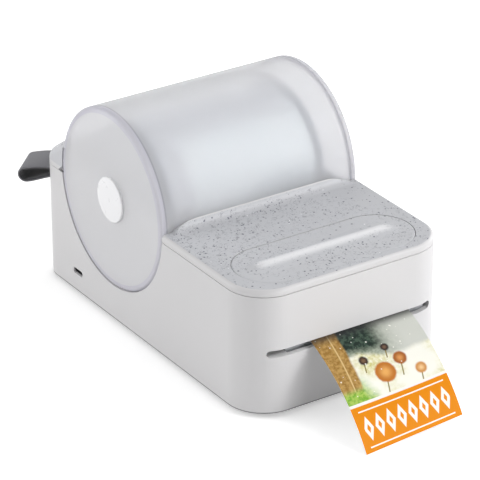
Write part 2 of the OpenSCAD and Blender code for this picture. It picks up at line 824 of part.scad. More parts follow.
module engine_frame() {
    y1 = frame_y + frame_d;
    color("slategray") difference() {
        union() {
            for (side = [-1, 1])
                box([side > 0 ? frame_x - frame_t : -frame_x, frame_y, frame_z],
                    [side > 0 ? frame_x : frame_t - frame_x, y1, frame_top]);
            box([-frame_x, frame_y, frame_z], [frame_x, y1, frame_z + frame_t]);
            box([-frame_x, frame_y + 4, frame_top - frame_t], [frame_x, y1 - 4, frame_top]);
            for (sx = [-1, 1], sy = [-1, 1])
                translate([sx * 26, pill_y + sy * 7, frame_top - eps]) cylinder(r = 2, h = board_lift + eps);
        }
        rod(-body_w, body_w, platen_y, platen_z, shaft_r + 1.2 + 0.02);
        rod(-body_w, body_w, pinch_y, pinch_z, pinch_shaft_r + run_gap);
        rod(-body_w, 0, motor_y, motor_z, 3);
        for (p = engine_screw_at) translate([p[0], p[1], frame_z - 1]) cylinder(r = screw_r + 0.15, h = frame_t + 2);
    }
}

module platen_roller() {
    color("dimgray") difference() {
        rod(paper_x - roller_half, paper_x + roller_half, platen_y, platen_z, platen_r);
        rod(-body_w, body_w, platen_y, platen_z, shaft_r);
    }
}

module platen_shaft() {
    color("silver") rod(gear_x - 0.6, frame_x + 0.6, platen_y, platen_z, shaft_r);
}

module platen_bushes() {
    color("peru") difference() {
        for (side = [-1, 1]) {
            rod(side * (frame_x - frame_t / 2) - 1.2, side * (frame_x - frame_t / 2) + 1.2,
                platen_y, platen_z, shaft_r + 1.2);
        }
        rod(-body_w, body_w, platen_y, platen_z, shaft_r + run_gap);
    }
}

module gear(y, z, teeth, phase, bore) {
    pitch_r = gear_m * teeth / 2;
    base_r = pitch_r * cos(20);
    root_r = pitch_r - 1.2 * gear_m;
    tip_r = pitch_r + 0.9 * gear_m;
    steps = 4;
    radii = [for (i = [0 : steps]) max(base_r, root_r) + (tip_r - max(base_r, root_r)) * i / steps];
    along_x(gear_x, gear_x + gear_w) translate([y, z]) rotate(phase) difference() {
        union() {
            circle(root_r, $fn = 48);
            for (i = [0 : teeth - 1]) rotate(i * 360 / teeth) polygon(concat(
                [polar(root_r - 0.3, -flank_angle(base_r, pitch_r, base_r, teeth))],
                [for (r = radii) polar(r, -flank_angle(r, pitch_r, base_r, teeth))],
                [for (i = [steps : -1 : 0]) polar(radii[i], flank_angle(radii[i], pitch_r, base_r, teeth))],
                [polar(root_r - 0.3, flank_angle(base_r, pitch_r, base_r, teeth))]));
        }
        circle(bore);
    }
}

module platen_gear() {
    color("ivory") gear(platen_y, platen_z, platen_teeth, idler_dir, shaft_r);
}

module idler_gear() {
    color("ivory") gear(idler_y, idler_z, idler_teeth, idler_phase, 1.5 + run_gap);
}

module idler_post() {
    color("silver") {
        rod(gear_x - 0.4, -frame_x, idler_y, idler_z, 1.5);
        rod(gear_x - 1.2, gear_x - 0.4 + eps, idler_y, idler_z, 2.4);
        rod(gear_x + gear_w + seat_gap, -frame_x, idler_y, idler_z, 2.4);
    }
}

module motor_pinion() {
    color("ivory") gear(motor_y, motor_z, pinion_teeth, pinion_phase, motor_shaft_r);
}

module drive_motor() {
    x0 = -frame_x + frame_t;
    color("gray") difference() {
        union() {
            rod(x0, x0 + motor_l, motor_y, motor_z, motor_r);
            rod(x0 - frame_t, x0 + eps, motor_y, motor_z, 2.8);
            rod(x0 + motor_l - eps, x0 + motor_l + 3, motor_y, motor_z, 3);
        }
        rod(x0 - frame_t - 1, x0 + 8, motor_y, motor_z, motor_shaft_r + run_gap);
    }
}

module motor_shaft() {
    color("silver") rod(gear_x - 0.6, -frame_x + frame_t + 7.7, motor_y, motor_z, motor_shaft_r);
}

module pinch_roller() {
    color("dimgray") difference() {
        rod(paper_x - roller_half, paper_x + roller_half, pinch_y, pinch_z, pinch_r);
        rod(-body_w, body_w, pinch_y, pinch_z, pinch_shaft_r);
    }
}

module pinch_shaft() {
    color("silver") rod(-frame_x - 0.5, frame_x + 0.5, pinch_y, pinch_z, pinch_shaft_r);
}

module print_head() {
    color("sienna")
        box([paper_x - roller_half - 1, platen_y - head_d / 2, head_z],
            [paper_x + roller_half + 1, platen_y + head_d / 2, head_z + head_h]);
}

module heat_sink() {
    x0 = paper_x - roller_half - 1;
    x1 = paper_x + roller_half + 1;
    fins = 9;
    pitch = (x1 - x0 - 17.2) / (fins - 1);
    color("silver") {
        box([x0, platen_y - head_d / 2, sink_z], [x1, platen_y + head_d / 2, sink_z + sink_t]);
        for (i = [0 : fins - 1])
            box([x0 + 8 + i * pitch, platen_y - head_d / 2, sink_z + sink_t - eps],
                [x0 + 9.2 + i * pitch, platen_y + head_d / 2, sink_z + sink_t + fin_h]);
    }
}

module head_springs() {
    z0 = sink_z + sink_t + 0.05;
    z1 = frame_top - frame_t - 0.05;
    color("silver") for (x = [paper_x - roller_half + 3, paper_x + roller_half - 3])
        translate([x, platen_y, z0]) difference() {
            cylinder(r = 2, h = z1 - z0);
            translate([0, 0, -1]) cylinder(r = 1.4, h = z1 - z0 + 2);
        }
}

module paper_guide() {
    half = paper_w / 2 + 2.4;
    y0 = platen_y + platen_r + 1.4;
    y1 = drum_y - cassette_r + 4;
    color("lightgray") {
        box([paper_x - half, y0, guide_top - 1], [paper_x + half, y1, guide_top]);
        for (side = [-1, 1])
            box([side > 0 ? paper_x + half - 1.2 : -frame_x + frame_t, frame_y + frame_d - 8, guide_top - 1],
                [side > 0 ? frame_x - frame_t : paper_x - half + 1.2, frame_y + frame_d - 5, guide_top]);
    }
}

module media_sensor() {
    color("darkslategray")
        box([paper_x - 4, pinch_y + pinch_r + 1, web_z + paper_t / 2 + 0.8],
            [paper_x + 4, pinch_y + pinch_r + 6, web_z + paper_t / 2 + 4]);
    color("darkslategray")
        box([paper_x - 6, pinch_y + pinch_r + 1.5, web_z + paper_t / 2 + 4 - eps],
            [paper_x + 6, pinch_y + pinch_r + 5.5, web_z + paper_t / 2 + 5.2]);
}

// a flat cable from the head, over the back of the chassis and down to the board
module head_cable() {
    x0 = max(frame_t - frame_x, screw_inset + screw_head_r - board_w / 2) + 0.8;
    x1 = paper_x - roller_half - 1;
    w = min(8, x1 - x0 - 1);
    t = 0.4;
    z_top = head_z + head_h / 2;
    y_back = frame_y + frame_d + 1;
    y_head = platen_y - head_d / 2 + 2;
    color("white") {
        box([x0 + w, y_head, z_top], [x1, platen_y + head_d / 2, z_top + t]);
        box([x0, y_head, z_top], [x0 + w + eps, y_back + t, z_top + t]);
        box([x0, y_back, main_board_z + board_t], [x0 + w, y_back + t, z_top + eps]);
        box([x0, y_back, main_board_z + board_t], [x0 + w, board_y0 + board_d / 4, main_board_z + board_t + t]);
    }
}

module main_board() {
    top = main_board_z + board_t;
    color("seagreen") difference() {
        box([-board_w / 2, board_y0, main_board_z], [board_w / 2, board_y0 + board_d, top]);
        for (p = board_screw_at) translate([p[0], p[1], main_board_z - 1]) cylinder(r = 1.3, h = board_t + 2);
    }
    color("black") {
        box([-board_w * 0.1, board_y0 + board_d * 0.36, top - eps],
            [board_w * 0.07, board_y0 + board_d * 0.84, top + chip_t]);
        box([board_w * 0.17, board_y0 + board_d * 0.4, top - eps],
            [board_w * 0.26, board_y0 + board_d * 0.72, top + chip_t * 1.7]);
    }
}

module battery_pack() {
    y0 = board_y0 + board_d + 4;
    color("steelblue")
        box([-battery_w / 2, y0, plate_top + seat_gap], [battery_w / 2, y0 + battery_d, plate_top + battery_h]);
}

module usb_board() {
    y = rear_y - port_y;
    z1 = port_z - port_h / 2 + 0.1;
    color("seagreen") {
        box([-body_w / 2 + wall + 0.3, y - 9, z1 - board_t], [-body_w / 2 + 17, y + 9, z1]);
        for (sy = [-1, 1])
            box([-body_w / 2 + 13, y + sy * 7 - 2, plate_top + 0.1],
                [-body_w / 2 + 17, y + sy * 7 + 2, z1 - board_t + eps]);
    }
}

module usb_socket() {
    y = rear_y - port_y;
    b = port_h / 2 - 0.1;
    color("silver") difference() {
        translate([-body_w / 2 + 0.8, y, port_z]) rotate([90, 0, 90])
            linear_extrude(8) pill(port_l / 2 - 0.1, b);
        translate([-body_w / 2, y, port_z]) rotate([90, 0, 90])
            linear_extrude(6) pill(port_l / 2 - 0.5, b - 0.4);
    }
}

main_housing();
deck_cap();
base_plate();
rubber_foot();
base_screws();
feed_button();
button_domes();
button_board();
cover_shell();
cover_disc_left();
cover_disc_right();
rear_hood();
hinge_pins();
side_badge();
carry_strap();
strap_anchor();
tear_bar();
printed_strip();
paper_roll();
roll_core();
cassette_body();
cassette_ends();
roll_cradle();
engine_frame();
platen_roller();
platen_shaft();
platen_bushes();
platen_gear();
idler_gear();
idler_post();
drive_motor();
motor_shaft();
motor_pinion();
pinch_roller();
pinch_shaft();
print_head();
heat_sink();
head_springs();
paper_guide();
media_sensor();
head_cable();
engine_screws();
main_board();
board_screws();
battery_pack();
usb_socket();
usb_board();
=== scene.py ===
"""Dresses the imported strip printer: moulded shells, frosted drum cover, paper, webbing and the stage."""

import math

import bmesh
import bpy
import numpy as np
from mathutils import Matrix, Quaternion, Vector


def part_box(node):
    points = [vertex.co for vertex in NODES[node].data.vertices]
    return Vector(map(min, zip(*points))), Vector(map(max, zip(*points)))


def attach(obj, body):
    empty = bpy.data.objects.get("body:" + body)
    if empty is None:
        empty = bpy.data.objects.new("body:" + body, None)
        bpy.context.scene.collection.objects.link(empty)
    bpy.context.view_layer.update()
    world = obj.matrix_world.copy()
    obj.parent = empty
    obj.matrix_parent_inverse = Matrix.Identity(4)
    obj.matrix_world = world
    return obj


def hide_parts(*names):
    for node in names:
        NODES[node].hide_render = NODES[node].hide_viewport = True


bl_info = {
    "name": "Strip Printer Dressing",
    "version": (1, 0, 0),
    "blender": (4, 5, 0),
    "location": "View3D > Sidebar > Printer",
    "description": "Builds the finished surfaces of a compact strip printer over its packed frame",
    "category": "Object",
}

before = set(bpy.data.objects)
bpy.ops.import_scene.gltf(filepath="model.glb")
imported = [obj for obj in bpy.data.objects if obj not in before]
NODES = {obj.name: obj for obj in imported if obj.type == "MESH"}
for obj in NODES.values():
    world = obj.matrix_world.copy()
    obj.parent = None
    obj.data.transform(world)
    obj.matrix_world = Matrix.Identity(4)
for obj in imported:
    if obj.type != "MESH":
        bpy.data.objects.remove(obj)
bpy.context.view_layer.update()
MM = 0.001


def corners(node):
    """The lowest and highest corner of a node, in millimetres."""
    low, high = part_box(node)
    return np.array(low) / MM, np.array(high) / MM


HOUSING_LOW, HOUSING_HIGH = corners("main_housing")
BUTTON_LOW, BUTTON_HIGH = corners("feed_button")
DISC_LOW, DISC_HIGH = corners("cover_disc_left")
HALF_WIDTH = float(HOUSING_HIGH[0])
FRONT = float(HOUSING_LOW[1])
REAR = -FRONT
SEAM = float(corners("cover_shell")[0][2]) - 0.3
DRUM_Y = float(DISC_LOW[1] + DISC_HIGH[1]) / 2
DRUM_Z = float(DISC_LOW[2] + DISC_HIGH[2]) / 2
DRUM_R = float(DISC_HIGH[2] - DISC_LOW[2]) / 2
DISC_T = float(DISC_HIGH[0] - DISC_LOW[0])
# the feed button's top is smaller than its flange all round, and its bar stands
# above the deck
FLANGE, BAR_HIGH, PILL_GAP = 1.0, 2.0, 0.25
PILL_Y = float(BUTTON_LOW[1] + BUTTON_HIGH[1]) / 2
PILL_LONG = float(BUTTON_HIGH[0]) - FLANGE
PILL_DEEP = float(BUTTON_HIGH[1]) - PILL_Y - FLANGE
DECK = float(BUTTON_HIGH[2]) - BAR_HIGH
# the corners in plan, and the hinge axis, which lies level with the cover's seam
CORNER_R, REAR_R = 18, 10
AXIS_Y, KNUCKLE_X = REAR + 1.5, 30
# where the strap's inner face and the paper's back lie in their maps
INNER_FACE, PAPER_BACK = 1.02, 2.0


# ---------------------------------------------------------------- surfaces


def skin(name, grid, wrap_u=False, wrap_v=False, uv=None, smooth=True):
    """A mesh object from a grid of points in millimetres: each cell of four
    neighbours is one face, and a wrapped direction joins its last line to its first."""
    rows, cols = grid.shape[:2]
    index = np.arange(rows * cols).reshape(rows, cols)
    i = np.arange(rows if wrap_u else rows - 1)[:, None]
    j = np.arange(cols if wrap_v else cols - 1)[None, :]
    i2, j2 = (i + 1) % rows, (j + 1) % cols
    faces = np.stack([index[i, j], index[i2, j], index[i2, j2], index[i, j2]], -1).reshape(-1, 4)
    mesh = bpy.data.meshes.new(name)
    mesh.from_pydata((grid.reshape(-1, 3) * MM).tolist(), [], faces.tolist())
    if uv is not None:
        layer = mesh.uv_layers.new(name="UVMap")
        loops = np.zeros(len(mesh.loops), dtype=np.int32)
        mesh.loops.foreach_get("vertex_index", loops)
        layer.data.foreach_set("uv", uv.reshape(-1, 2)[loops].ravel().astype(np.float32))
    mesh.polygons.foreach_set("use_smooth", np.full(len(mesh.polygons), smooth))
    piece = bpy.data.objects.new(name, mesh)
    bpy.context.scene.collection.objects.link(piece)
    return piece


def mend(piece, merge=0.004, angle=None):
    """Merges the doubles of a piece, turns its faces outwards and, where an
    angle is given, keeps edges sharper than it crisp."""
    work = bmesh.new()
    work.from_mesh(piece.data)
    bmesh.ops.remove_doubles(work, verts=work.verts, dist=merge * MM)
    bmesh.ops.dissolve_degenerate(work, dist=merge * MM * 0.2, edges=work.edges)
    bmesh.ops.recalc_face_normals(work, faces=work.faces)
    work.to_mesh(piece.data)
    work.free()
    if angle is not None:
        piece.data.set_sharp_from_angle(angle=math.radians(angle))
    return piece


def join(name, pieces):
    """One object from several, keeping every face where it is."""
    bpy.ops.object.select_all(action="DESELECT")
    for piece in pieces:
        piece.select_set(True)
    bpy.context.view_layer.objects.active = pieces[0]
    if len(pieces) > 1:
        bpy.ops.object.join()
    pieces[0].name = name
    return pieces[0]


def dress(piece, look, body, slot, *nodes):
    """Gives a piece its look and body, and hides the nodes that it stands for. The slot is not used."""
    piece.data.materials.clear()
    piece.data.materials.append(look.material)
    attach(piece, body)
    if nodes:
        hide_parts(*nodes)
    return piece


def finish(nodes, look):
    """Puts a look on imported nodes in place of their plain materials."""
    for node in nodes.split():
        slots = NODES[node].data.materials
        slots.clear()
        slots.append(look.material)


def steps(low, high, count):
    return np.linspace(low, high, count)


def level(line, z):
    """A line given in plan, laid at one height."""
    return np.column_stack([line, np.full(len(line), z)])


def revolved(x, radius, turn, y=DRUM_Y, z=DRUM_Z):
    """A profile of places along X and radii, turned through the given angles
    about an axis along X: each point goes round a circle of its own radius."""
    x, radius = x[:, None], radius[:, None]
    return np.stack([x + 0 * turn, y + radius * np.cos(turn), z + radius * np.sin(turn)], -1)


def full_turn(count):
    return np.linspace(0, math.tau, count, endpoint=False)


def deck_outline(inset, rear):
    """The deck's outline: the two sides, the front and its two round corners,
    closed at the back by a straight line at the given place."""
    w, r = HALF_WIDTH - inset, CORNER_R - inset
    cx, cy = HALF_WIDTH - CORNER_R, FRONT + CORNER_R

    def corner(side, start):
        a = np.radians(steps(start, start + 90, 40))
        return np.stack([side * cx + r * np.cos(a), cy + r * np.sin(a)], -1)

    side = steps(0, 1, 60)[:, None]
    left = np.array([-w, rear]) + side * np.array([0, cy - rear])
    front = np.stack([steps(-cx, cx, 80), np.full(80, FRONT + inset)], -1)
    right = np.array([w, cy]) + side * np.array([0, rear - cy])
    back = np.stack([steps(w, -w, 140), np.full(140, rear)], -1)
    runs = (left, corner(-1, 180), front, corner(1, 270), right, back)
    return np.concatenate([run[:-1] for run in runs])


def pill_ray(points, a, b, cy):
    """Where the ray from a long button's middle through each point crosses its
    outline, two straight sides joined by half circles of radius b."""
    d = points - np.array([0.0, cy])
    phi = np.arctan2(d[:, 1], d[:, 0])
    c, s = np.cos(phi), np.sin(phi)
    flat = b / np.maximum(np.abs(s), 1e-9)
    centre = a - b
    arc = centre * np.abs(c) + np.sqrt(np.maximum(b * b - (centre * s) ** 2, 0))
    t = np.where(np.abs(flat * c) <= centre, flat, arc)
    return np.stack([t * c, cy + t * s], -1)


def quarter(r, count, turn=90):
    """Steps round a quarter circle of radius r: how far in and how far down."""
    a = np.radians(steps(0, turn, count))
    return r * (1 - np.sin(a)), r * (1 - np.cos(a))


# ---------------------------------------------------------------- materials


def srgb(r, g, b):
    """A colour from 0 to 255 as the numbers a shader takes."""
    c = np.array([r, g, b]) / 255.0
    lin = np.where(c <= 0.04045, c / 12.92, ((c + 0.055) / 1.055) ** 2.4)
    return (float(lin[0]), float(lin[1]), float(lin[2]), 1.0)


def toned(colour, factor):
    """The colour made darker or lighter."""
    return tuple(min(1, c * factor) for c in colour[:3]) + (1,)


class Value:
    """A socket that carries a number, with Python's own operators."""

    def __init__(self, nodes, socket):
        self.nodes, self.socket = nodes, socket

    def maths(self, operation, *others):
        values = {i + 1: other for i, other in enumerate(others)}
        return self.nodes.node("ShaderNodeMath", {"operation": operation}, {0: self, **values})

    def __add__(self, other):
        return self.maths("ADD", other)

    def __sub__(self, other):
        return self.maths("SUBTRACT", other)

    def __rsub__(self, other):
        return self.nodes.node("ShaderNodeMath", {"operation": "SUBTRACT"}, {0: other, 1: self})

    def __mul__(self, other):
        return self.maths("MULTIPLY", other)

    def __truediv__(self, other):
        return self.maths("DIVIDE", other)

    __radd__, __rmul__ = __add__, __mul__

    def above(self, edge, soft=0.0):
        """0 below the edge and 1 above it, with a soft step."""
        if soft <= 0:
            return self.maths("GREATER_THAN", edge)
        limits = {"From Min": edge - soft, "From Max": edge + soft}
        return self.nodes.node("ShaderNodeMapRange", {"interpolation_type": "SMOOTHSTEP"}, {"Value": self, **limits})

    def below(self, edge, soft=0.0):
        return 1 - self.above(edge, soft)

    def within(self, low, high, soft=0.0):
        return self.above(low, soft) * self.below(high, soft)

    def absolute(self):
        return self.maths("ABSOLUTE")

    def sine(self):
        return self.maths("SINE")

    def power(self, exponent):
        return self.maths("POWER", exponent)

    def folded(self, width):
        """Zigzag between 0 and the width."""
        return self.maths("PINGPONG", width)

    def either(self, other):
        return self.maths("MAXIMUM", other)


class Nodes:
    """A node tree whose nodes all come from one method."""

    def __init__(self, tree):
        self.tree = tree

    def put(self, socket, value):
        if isinstance(value, Value):
            self.tree.links.new(value.socket, socket)
        else:
            socket.default_value = value

    def node(self, kind, settings=None, inputs=None, output=0):
        """One node: its settings first, then the values or links of its sockets."""
        node = self.tree.nodes.new(kind)
        for key, value in (settings or {}).items():
            setattr(node, key, value)
        for key, value in (inputs or {}).items():
            self.put(node.inputs[key], value)
        return Value(self, node.outputs[output])

    def outputs(self, kind, inputs, *names):
        """Several outputs of one node."""
        sockets = self.node(kind, {}, inputs).socket.node.outputs
        return [Value(self, sockets[name]) for name in names]

    def showing(self):
        """1 for rays that show the backdrop itself: the camera's own, and those
        that gloss or glass passes on."""
        rays = [f"Is {kind} Ray" for kind in ("Camera", "Glossy", "Transmission")]
        camera, gloss, glass = self.outputs("ShaderNodeLightPath", {}, *rays)
        return camera.either(gloss).either(glass)

    def mixed(self, factor, first, second):
        """The first shader where the factor is 0 and the second where it is 1."""
        return self.node("ShaderNodeMixShader", {}, {0: factor, 1: first, 2: second})


class Shade(Nodes):
    """One material and the nodes that it is made of."""

    def __init__(self, name, colour, roughness, **constants):
        self.material = bpy.data.materials.new(name)
        self.material.use_nodes = True
        super().__init__(self.material.node_tree)
        self.surface = self.tree.nodes["Principled BSDF"]
        self.set("Base Color", colour)
        self.set("Roughness", roughness)
        for socket, value in constants.items():
            self.set(socket.replace("_", " "), value)

    def set(self, socket, value):
        self.put(self.surface.inputs[socket], value)

    def place(self):
        """Object coordinates, which are metres in the printer's own frame."""
        return self.node("ShaderNodeTexCoord", output="Object")

    def axes(self):
        return self.split(self.place())

    def cloth(self):
        return self.node("ShaderNodeTexCoord", output="UV")

    def facing_up(self):
        """1 on what faces up, fading to 0 on upright walls."""
        return self.split(self.node("ShaderNodeTexCoord", output="Normal"))[2].above(0.4, 0.25)

    def split(self, vector):
        return self.outputs("ShaderNodeSeparateXYZ", {0: vector}, "X", "Y", "Z")

    def plane(self, x, y):
        return self.node("ShaderNodeCombineXYZ", {}, {"X": x, "Y": y, "Z": 0.0})

    def stretch(self, vector, scale, place=(0, 0, 0)):
        return self.node("ShaderNodeMapping", {}, {"Vector": vector, "Location": place, "Scale": scale})

    def shifted(self, vector, x, y):
        return self.stretch(vector, (1, 1, 1), (x, y, 0))

    def noise(self, vector, scale, detail=2.0, rough=0.5, warp=0.0):
        settings = {"Scale": scale, "Detail": detail, "Roughness": rough, "Distortion": warp}
        return self.node("ShaderNodeTexNoise", {}, {"Vector": vector, **settings})

    def cells(self, vector, scale):
        """Distance to the nearest of many scattered points."""
        return self.node("ShaderNodeTexVoronoi", {}, {"Vector": vector, "Scale": scale})

    def cell_draws(self, vector, scale):
        """Three random numbers for each of the cells."""
        return self.split(self.node("ShaderNodeTexVoronoi", {}, {"Vector": vector, "Scale": scale}, output="Color"))

    def blend(self, mask, first, second):
        """The first colour where the mask is 0 and the second where it is 1."""
        return self.node("ShaderNodeMix", {"data_type": "RGBA"}, {0: mask, 6: first, 7: second}, output=2)

    def relief(self, height, depth, strength=1.0):
        bump = {"Height": height, "Distance": depth * MM, "Strength": strength}
        self.set("Normal", self.node("ShaderNodeBump", {}, bump))
        return self


def off_axis(y, z):
    """Distance from the drum's axis."""
    ry, rz = y - DRUM_Y * MM, z - DRUM_Z * MM
    return (ry * ry + rz * rz).power(0.5)


def moulded(name, colour, roughness=0.42, grain=0.02, tone=0.03, details=None):
    """Moulded plastic: a faint drift of tone, a fine spark-eroded grain and
    slightly uneven gloss. details(shade, ground) may add to its colour."""
    shade = Shade(name, colour, roughness)
    place = shade.place()
    drift = shade.noise(place, 26, 2, 0.5)
    ground = shade.blend(drift, toned(colour, 1 - tone), toned(colour, 1 + tone))
    if details:
        ground = details(shade, ground)
    shade.set("Base Color", ground)
    shade.set("Roughness", drift * 0.08 + (roughness - 0.04))
    return shade.relief(shade.noise(place, 2600, 2, 0.6), grain, 0.6)


def speckled(name, colour, low, soft=0.05, rear=None, crest=None, lean=1):
    """Recycled-look plastic: short dark squiggles, dots and a few white flecks
    above the low height and in front of the rear, in millimetres. Below the low
    height and behind the rear, the rims and the lip's edge are painted plain and
    light: a painted highlight along the rounded edges that hides the speckles.
    Where a crest height is given, the colour above it is a painted highlight too."""
    shade = Shade(name, colour, 0.36)
    place = shade.place()
    x, y, z = shade.split(place)
    up = z.above(low * MM, soft * MM)
    if rear is not None:
        up = up * y.below(rear * MM, 0.1 * MM)
    # height is added to the depth, so that marks aren't drawn out on a slope that
    # rises, or falls with a lean of -1, to the back
    flat = shade.plane(x, y + z * lean)
    crowd = shade.noise(flat, 34, 2, 0.5) + (y + 0.03) * 2.0 - x * 1.6
    marks = None
    for scale, share, size in ((430, 1.04, 0.20), (640, 1.12, 0.24)):
        chosen = shade.cell_draws(flat, scale)[0]
        dot = shade.cells(flat, scale).below(size, 0.04) * (chosen + crowd * 0.62).above(share)
        marks = dot if marks is None else marks.either(dot)
    flecks = shade.cells(flat, 430).below(0.16, 0.03) * shade.cell_draws(flat, 430)[1].below(0.05)
    # strands follow the middle level of a warped noise and are cut up by another
    bent = shade.noise(flat, 210, 1, 0.4, 2.2)
    strand = (bent - 0.5).absolute().below(0.015, 0.008)
    cut = shade.noise(shade.shifted(flat, 0.31, 0.17), 360, 1).above(0.5, 0.03)
    curled = shade.noise(shade.shifted(flat, 0.07, 0.41), 260, 1, 0.4, 1.6)
    short = (curled - 0.5).absolute().below(0.016, 0.01)
    pick = shade.noise(shade.shifted(flat, 0.53, 0.11), 420, 1).above(0.52, 0.03)
    squiggles = (strand * cut * crowd.above(0.36, 0.08)).either(short * pick * crowd.above(0.44, 0.08) * 0.7)
    marks = marks.either(squiggles * 0.62) * up * shade.facing_up()
    drift = shade.noise(place, 40, 2, 0.5)
    ground = shade.blend(drift, toned(colour, 0.955), toned(colour, 1.045))
    # painted highlight: the rims and the lip's edge are painted plain and light
    ground = shade.blend(up, srgb(213, 212, 213), ground)
    ground = shade.blend(marks, ground, srgb(104, 106, 118))
    ground = shade.blend(flecks * up, ground, srgb(246, 246, 248))
    if crest is not None:
        # painted highlight: above the crest height the colour is painted lighter
        ground = shade.blend(z.above(crest * MM, 0.62 * MM) * 0.85, ground, srgb(244, 244, 246))
    shade.set("Base Color", ground)
    shade.set("Roughness", 0.36 + marks * 0.15)
    return shade.relief(shade.noise(place, 2400, 2, 0.6), 0.02, 0.5)


def frosted(name, colour, through, solid, roughness, rim):
    """Frosted plastic: part of the light goes through it and is scattered, and
    the rest comes back from a milky body. The rims of the drum's ends, where
    the plastic is seen through its whole width, are a darker lilac."""
    shade = Shade(
        name, colour, roughness, IOR=1.12, Transmission_Weight=through, Specular_IOR_Level=0.4, Alpha=solid
    )
    place = shade.place()
    x, y, z = shade.split(place)
    rim_wide, rim_deep = 2.7, 3.2
    edge = off_axis(y, z).above((DRUM_R - rim_wide) * MM, 0.2 * MM)
    edge = edge * x.absolute().above((HALF_WIDTH - rim_deep) * MM, 0.2 * MM)
    drift = shade.noise(place, 34, 2, 0.5)
    shade.set("Base Color", shade.blend(edge, shade.blend(drift, toned(colour, 0.985), colour), rim))
    # less of the dark well under the drum shows through low down
    shade.set("Alpha", z.below((DRUM_Z + 8) * MM, 9 * MM) * ((1 - solid) * 0.55) + solid)
    shade.set("Roughness", drift * 0.06 + (roughness - 0.03))
    return shade.relief(shade.noise(place, 1900, 2, 0.7), 0.02, 0.5)


def wound_paper(name):
    """A paper roll: its sides show the edges of the turns as fine rings round
    the roll's axis, and its outside is plain."""
    shade = Shade(name, srgb(236, 239, 243), 0.55)
    pitch = 0.45
    _, y, z = shade.axes()
    end = shade.split(shade.node("ShaderNodeNewGeometry", output="Normal"))[0].absolute().above(0.8, 0.05)
    turns = (off_axis(y, z) * (math.tau / (pitch * MM))).sine() * 0.5 + 0.5
    shade.set("Base Color", shade.blend(turns * end, srgb(238, 240, 244), srgb(205, 208, 214)))
    return shade.relief(turns * end, 0.05, 0.5)


